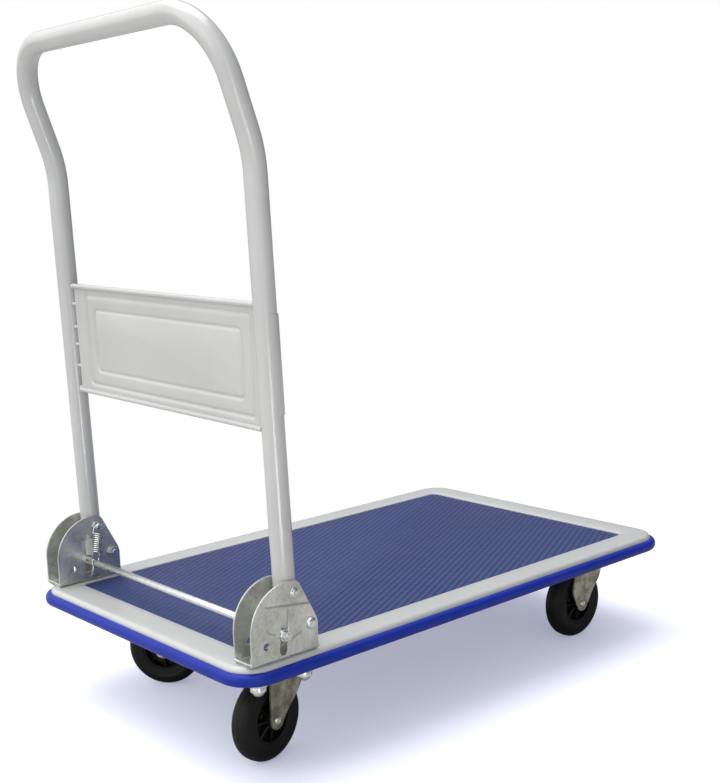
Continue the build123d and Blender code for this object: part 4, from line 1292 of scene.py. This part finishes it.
def build():
    deck()
    bumper()
    mat()
    handle()
    panel()
    pivot_bolts()
    stop_bolts()
    dome_nuts()
    lock_rod()
    for name, side in SIDES:
        bracket(name, side)
        spring(name, side)
        swivel_plate(name)
        swivel_fork(name)
        rigid_fork(name)
        for end in ("rear", "front"):
            tyre(end + "_" + name)
            hub(end + "_" + name)
        axle_rivets("swivel_axle_bolt_" + name, [wheel_matrix("rear_" + name)])
    half_turn = Matrix.Rotation(pi, 4, "Z")
    axle_rivets("rigid_axle_bolts", [wheel_matrix("front_left") @ half_turn, wheel_matrix("front_right")])
    for node in ("cross_member_rear", "cross_member_front"):
        refined(node, 0.6 * MM)
    fasteners = ["bracket_bolts", "pivot_nuts", "stop_nuts", "caster_bolts", "caster_nuts", "lock_rod_nuts"]
    fasteners += ["rigid_axle_nuts", "kingpin_left", "kingpin_right"]
    fasteners += ["swivel_axle_nut_" + name for name, _ in SIDES]
    for node in fasteners:
        refined(node)
    finish_carried_nodes()


def finish_carried_nodes():
    """Gives each CAD node that still shows the procedural material of its slot."""
    carried = ["bracket_spacers", "stop_sleeves", "pivot_bushes", "rigid_bushes", "bearing_balls"]
    carried += ["swivel_bush_" + name for name, _ in SIDES]
    for node in carried:
        mesh = NODES[node].data
        mesh.materials.clear()
        mesh.materials.append(MATERIALS[SLOT_OF[node]])
        mesh.shade_smooth()


# ---- studio


def floor():
    size = FLOOR_HALF
    points = [Vector((x, y, 0)) for x, y in ((-size, -size), (size, -size), (size, size), (-size, size))]
    ground = new_piece("studio_floor", (points, [[0, 1, 2, 3]]))
    ground.data.materials.append(studio_floor())


def area_light(name, place, target, size, power, colour):
    light = bpy.data.lights.new(name, "AREA")
    light.shape = "RECTANGLE"
    light.size, light.size_y = size
    light.energy = power
    light.color = colour
    lamp = bpy.data.objects.new(name, light)
    lamp.location = place
    aim = Vector(target) - Vector(place)
    lamp.rotation_euler = aim.to_track_quat("-Z", "Y").to_euler()
    bpy.context.scene.collection.objects.link(lamp)
    return lamp


def sky():
    """A white backdrop for the view, and a soft light that is brighter from the cart's left and above."""
    world = bpy.data.worlds.new("studio")
    bpy.context.scene.world = world
    world.use_nodes = True
    nodes = Nodes(world.node_tree)
    nodes.tree.nodes.clear()
    place = nodes.add("ShaderNodeTexCoord").outputs["Generated"]
    feeds = {0: place, 1: Vector((-0.70, 0.35, 0.62)).normalized()}
    facing = nodes.add("ShaderNodeVectorMath", feeds, operation="DOT_PRODUCT").outputs["Value"]
    shift = nodes.add("ShaderNodeMapRange", {"Value": facing, "From Min": -1}).outputs["Result"]
    stops = ((0.22, (0.07, 0.07, 0.09)), (0.55, (0.36, 0.36, 0.39)), (0.90, (1.05, 1.05, 1.04)))
    feeds = {"Color": nodes.colours(shift, stops), "Strength": 1.2}
    studio = nodes.add("ShaderNodeBackground", feeds).outputs["Background"]
    backdrop = nodes.add("ShaderNodeBackground", {"Color": (1, 1, 1, 1)}).outputs["Background"]
    seen = nodes.add("ShaderNodeLightPath").outputs["Is Camera Ray"]
    mix = nodes.add("ShaderNodeMixShader", {0: seen, 1: studio, 2: backdrop}).outputs["Shader"]
    nodes.add("ShaderNodeOutputWorld", {"Surface": mix})


def camera():
    yaw, pitch, roll = radians(CAMERA_YAW), radians(CAMERA_PITCH), radians(CAMERA_ROLL)
    forward = Vector((cos(yaw) * cos(pitch), sin(yaw) * cos(pitch), -sin(pitch)))
    level = Vector((sin(yaw), -cos(yaw), 0))
    up = level.cross(forward)
    right = level * cos(roll) + up * sin(roll)
    top = up * cos(roll) - level * sin(roll)
    lens = bpy.data.cameras.new("camera")
    lens.lens = CAMERA_LENS
    lens.sensor_width = CAMERA_SENSOR
    lens.clip_end = 100
    eye = bpy.data.objects.new("camera", lens)
    turn = Matrix((right, top, -forward)).transposed().to_4x4()
    eye.matrix_world = Matrix.Translation(CAMERA_PLACE) @ turn
    bpy.context.scene.collection.objects.link(eye)
    bpy.context.scene.camera = eye


def lights():
    sky()
    middle = (-0.1, 0, 0.2)
    area_light("overhead", (-0.4, 0.5, 3.0), middle, (2.6, 2.6), 66, (1.0, 1.0, 0.99))
    area_light("left_key", (-2.6, 0.9, 1.7), middle, (1.4, 1.8), 7, (1.0, 0.99, 0.97))
    area_light("rear_strip", (-1.57, -2.93, 1.3), (-0.3, 0, 0.5), (0.10, 2.6), 8, (1.0, 1.0, 1.0))
    area_light("side_strip", (-3.2, -0.52, 1.3), (-0.3, 0.2, 0.5), (0.10, 2.6), 6, (1.0, 1.0, 1.0))
    floor_strip = area_light("floor_strip", (-1.17, -1.77, 0.02), middle, (2.0, 0.36), 16, (1.0, 1.0, 1.0))
    floor_strip.rotation_euler = (pi, 0, radians(61))
    floor_strip.visible_camera = False


camera()
build()
floor()
lights()
bpy.context.scene.view_settings.view_transform = "Standard"
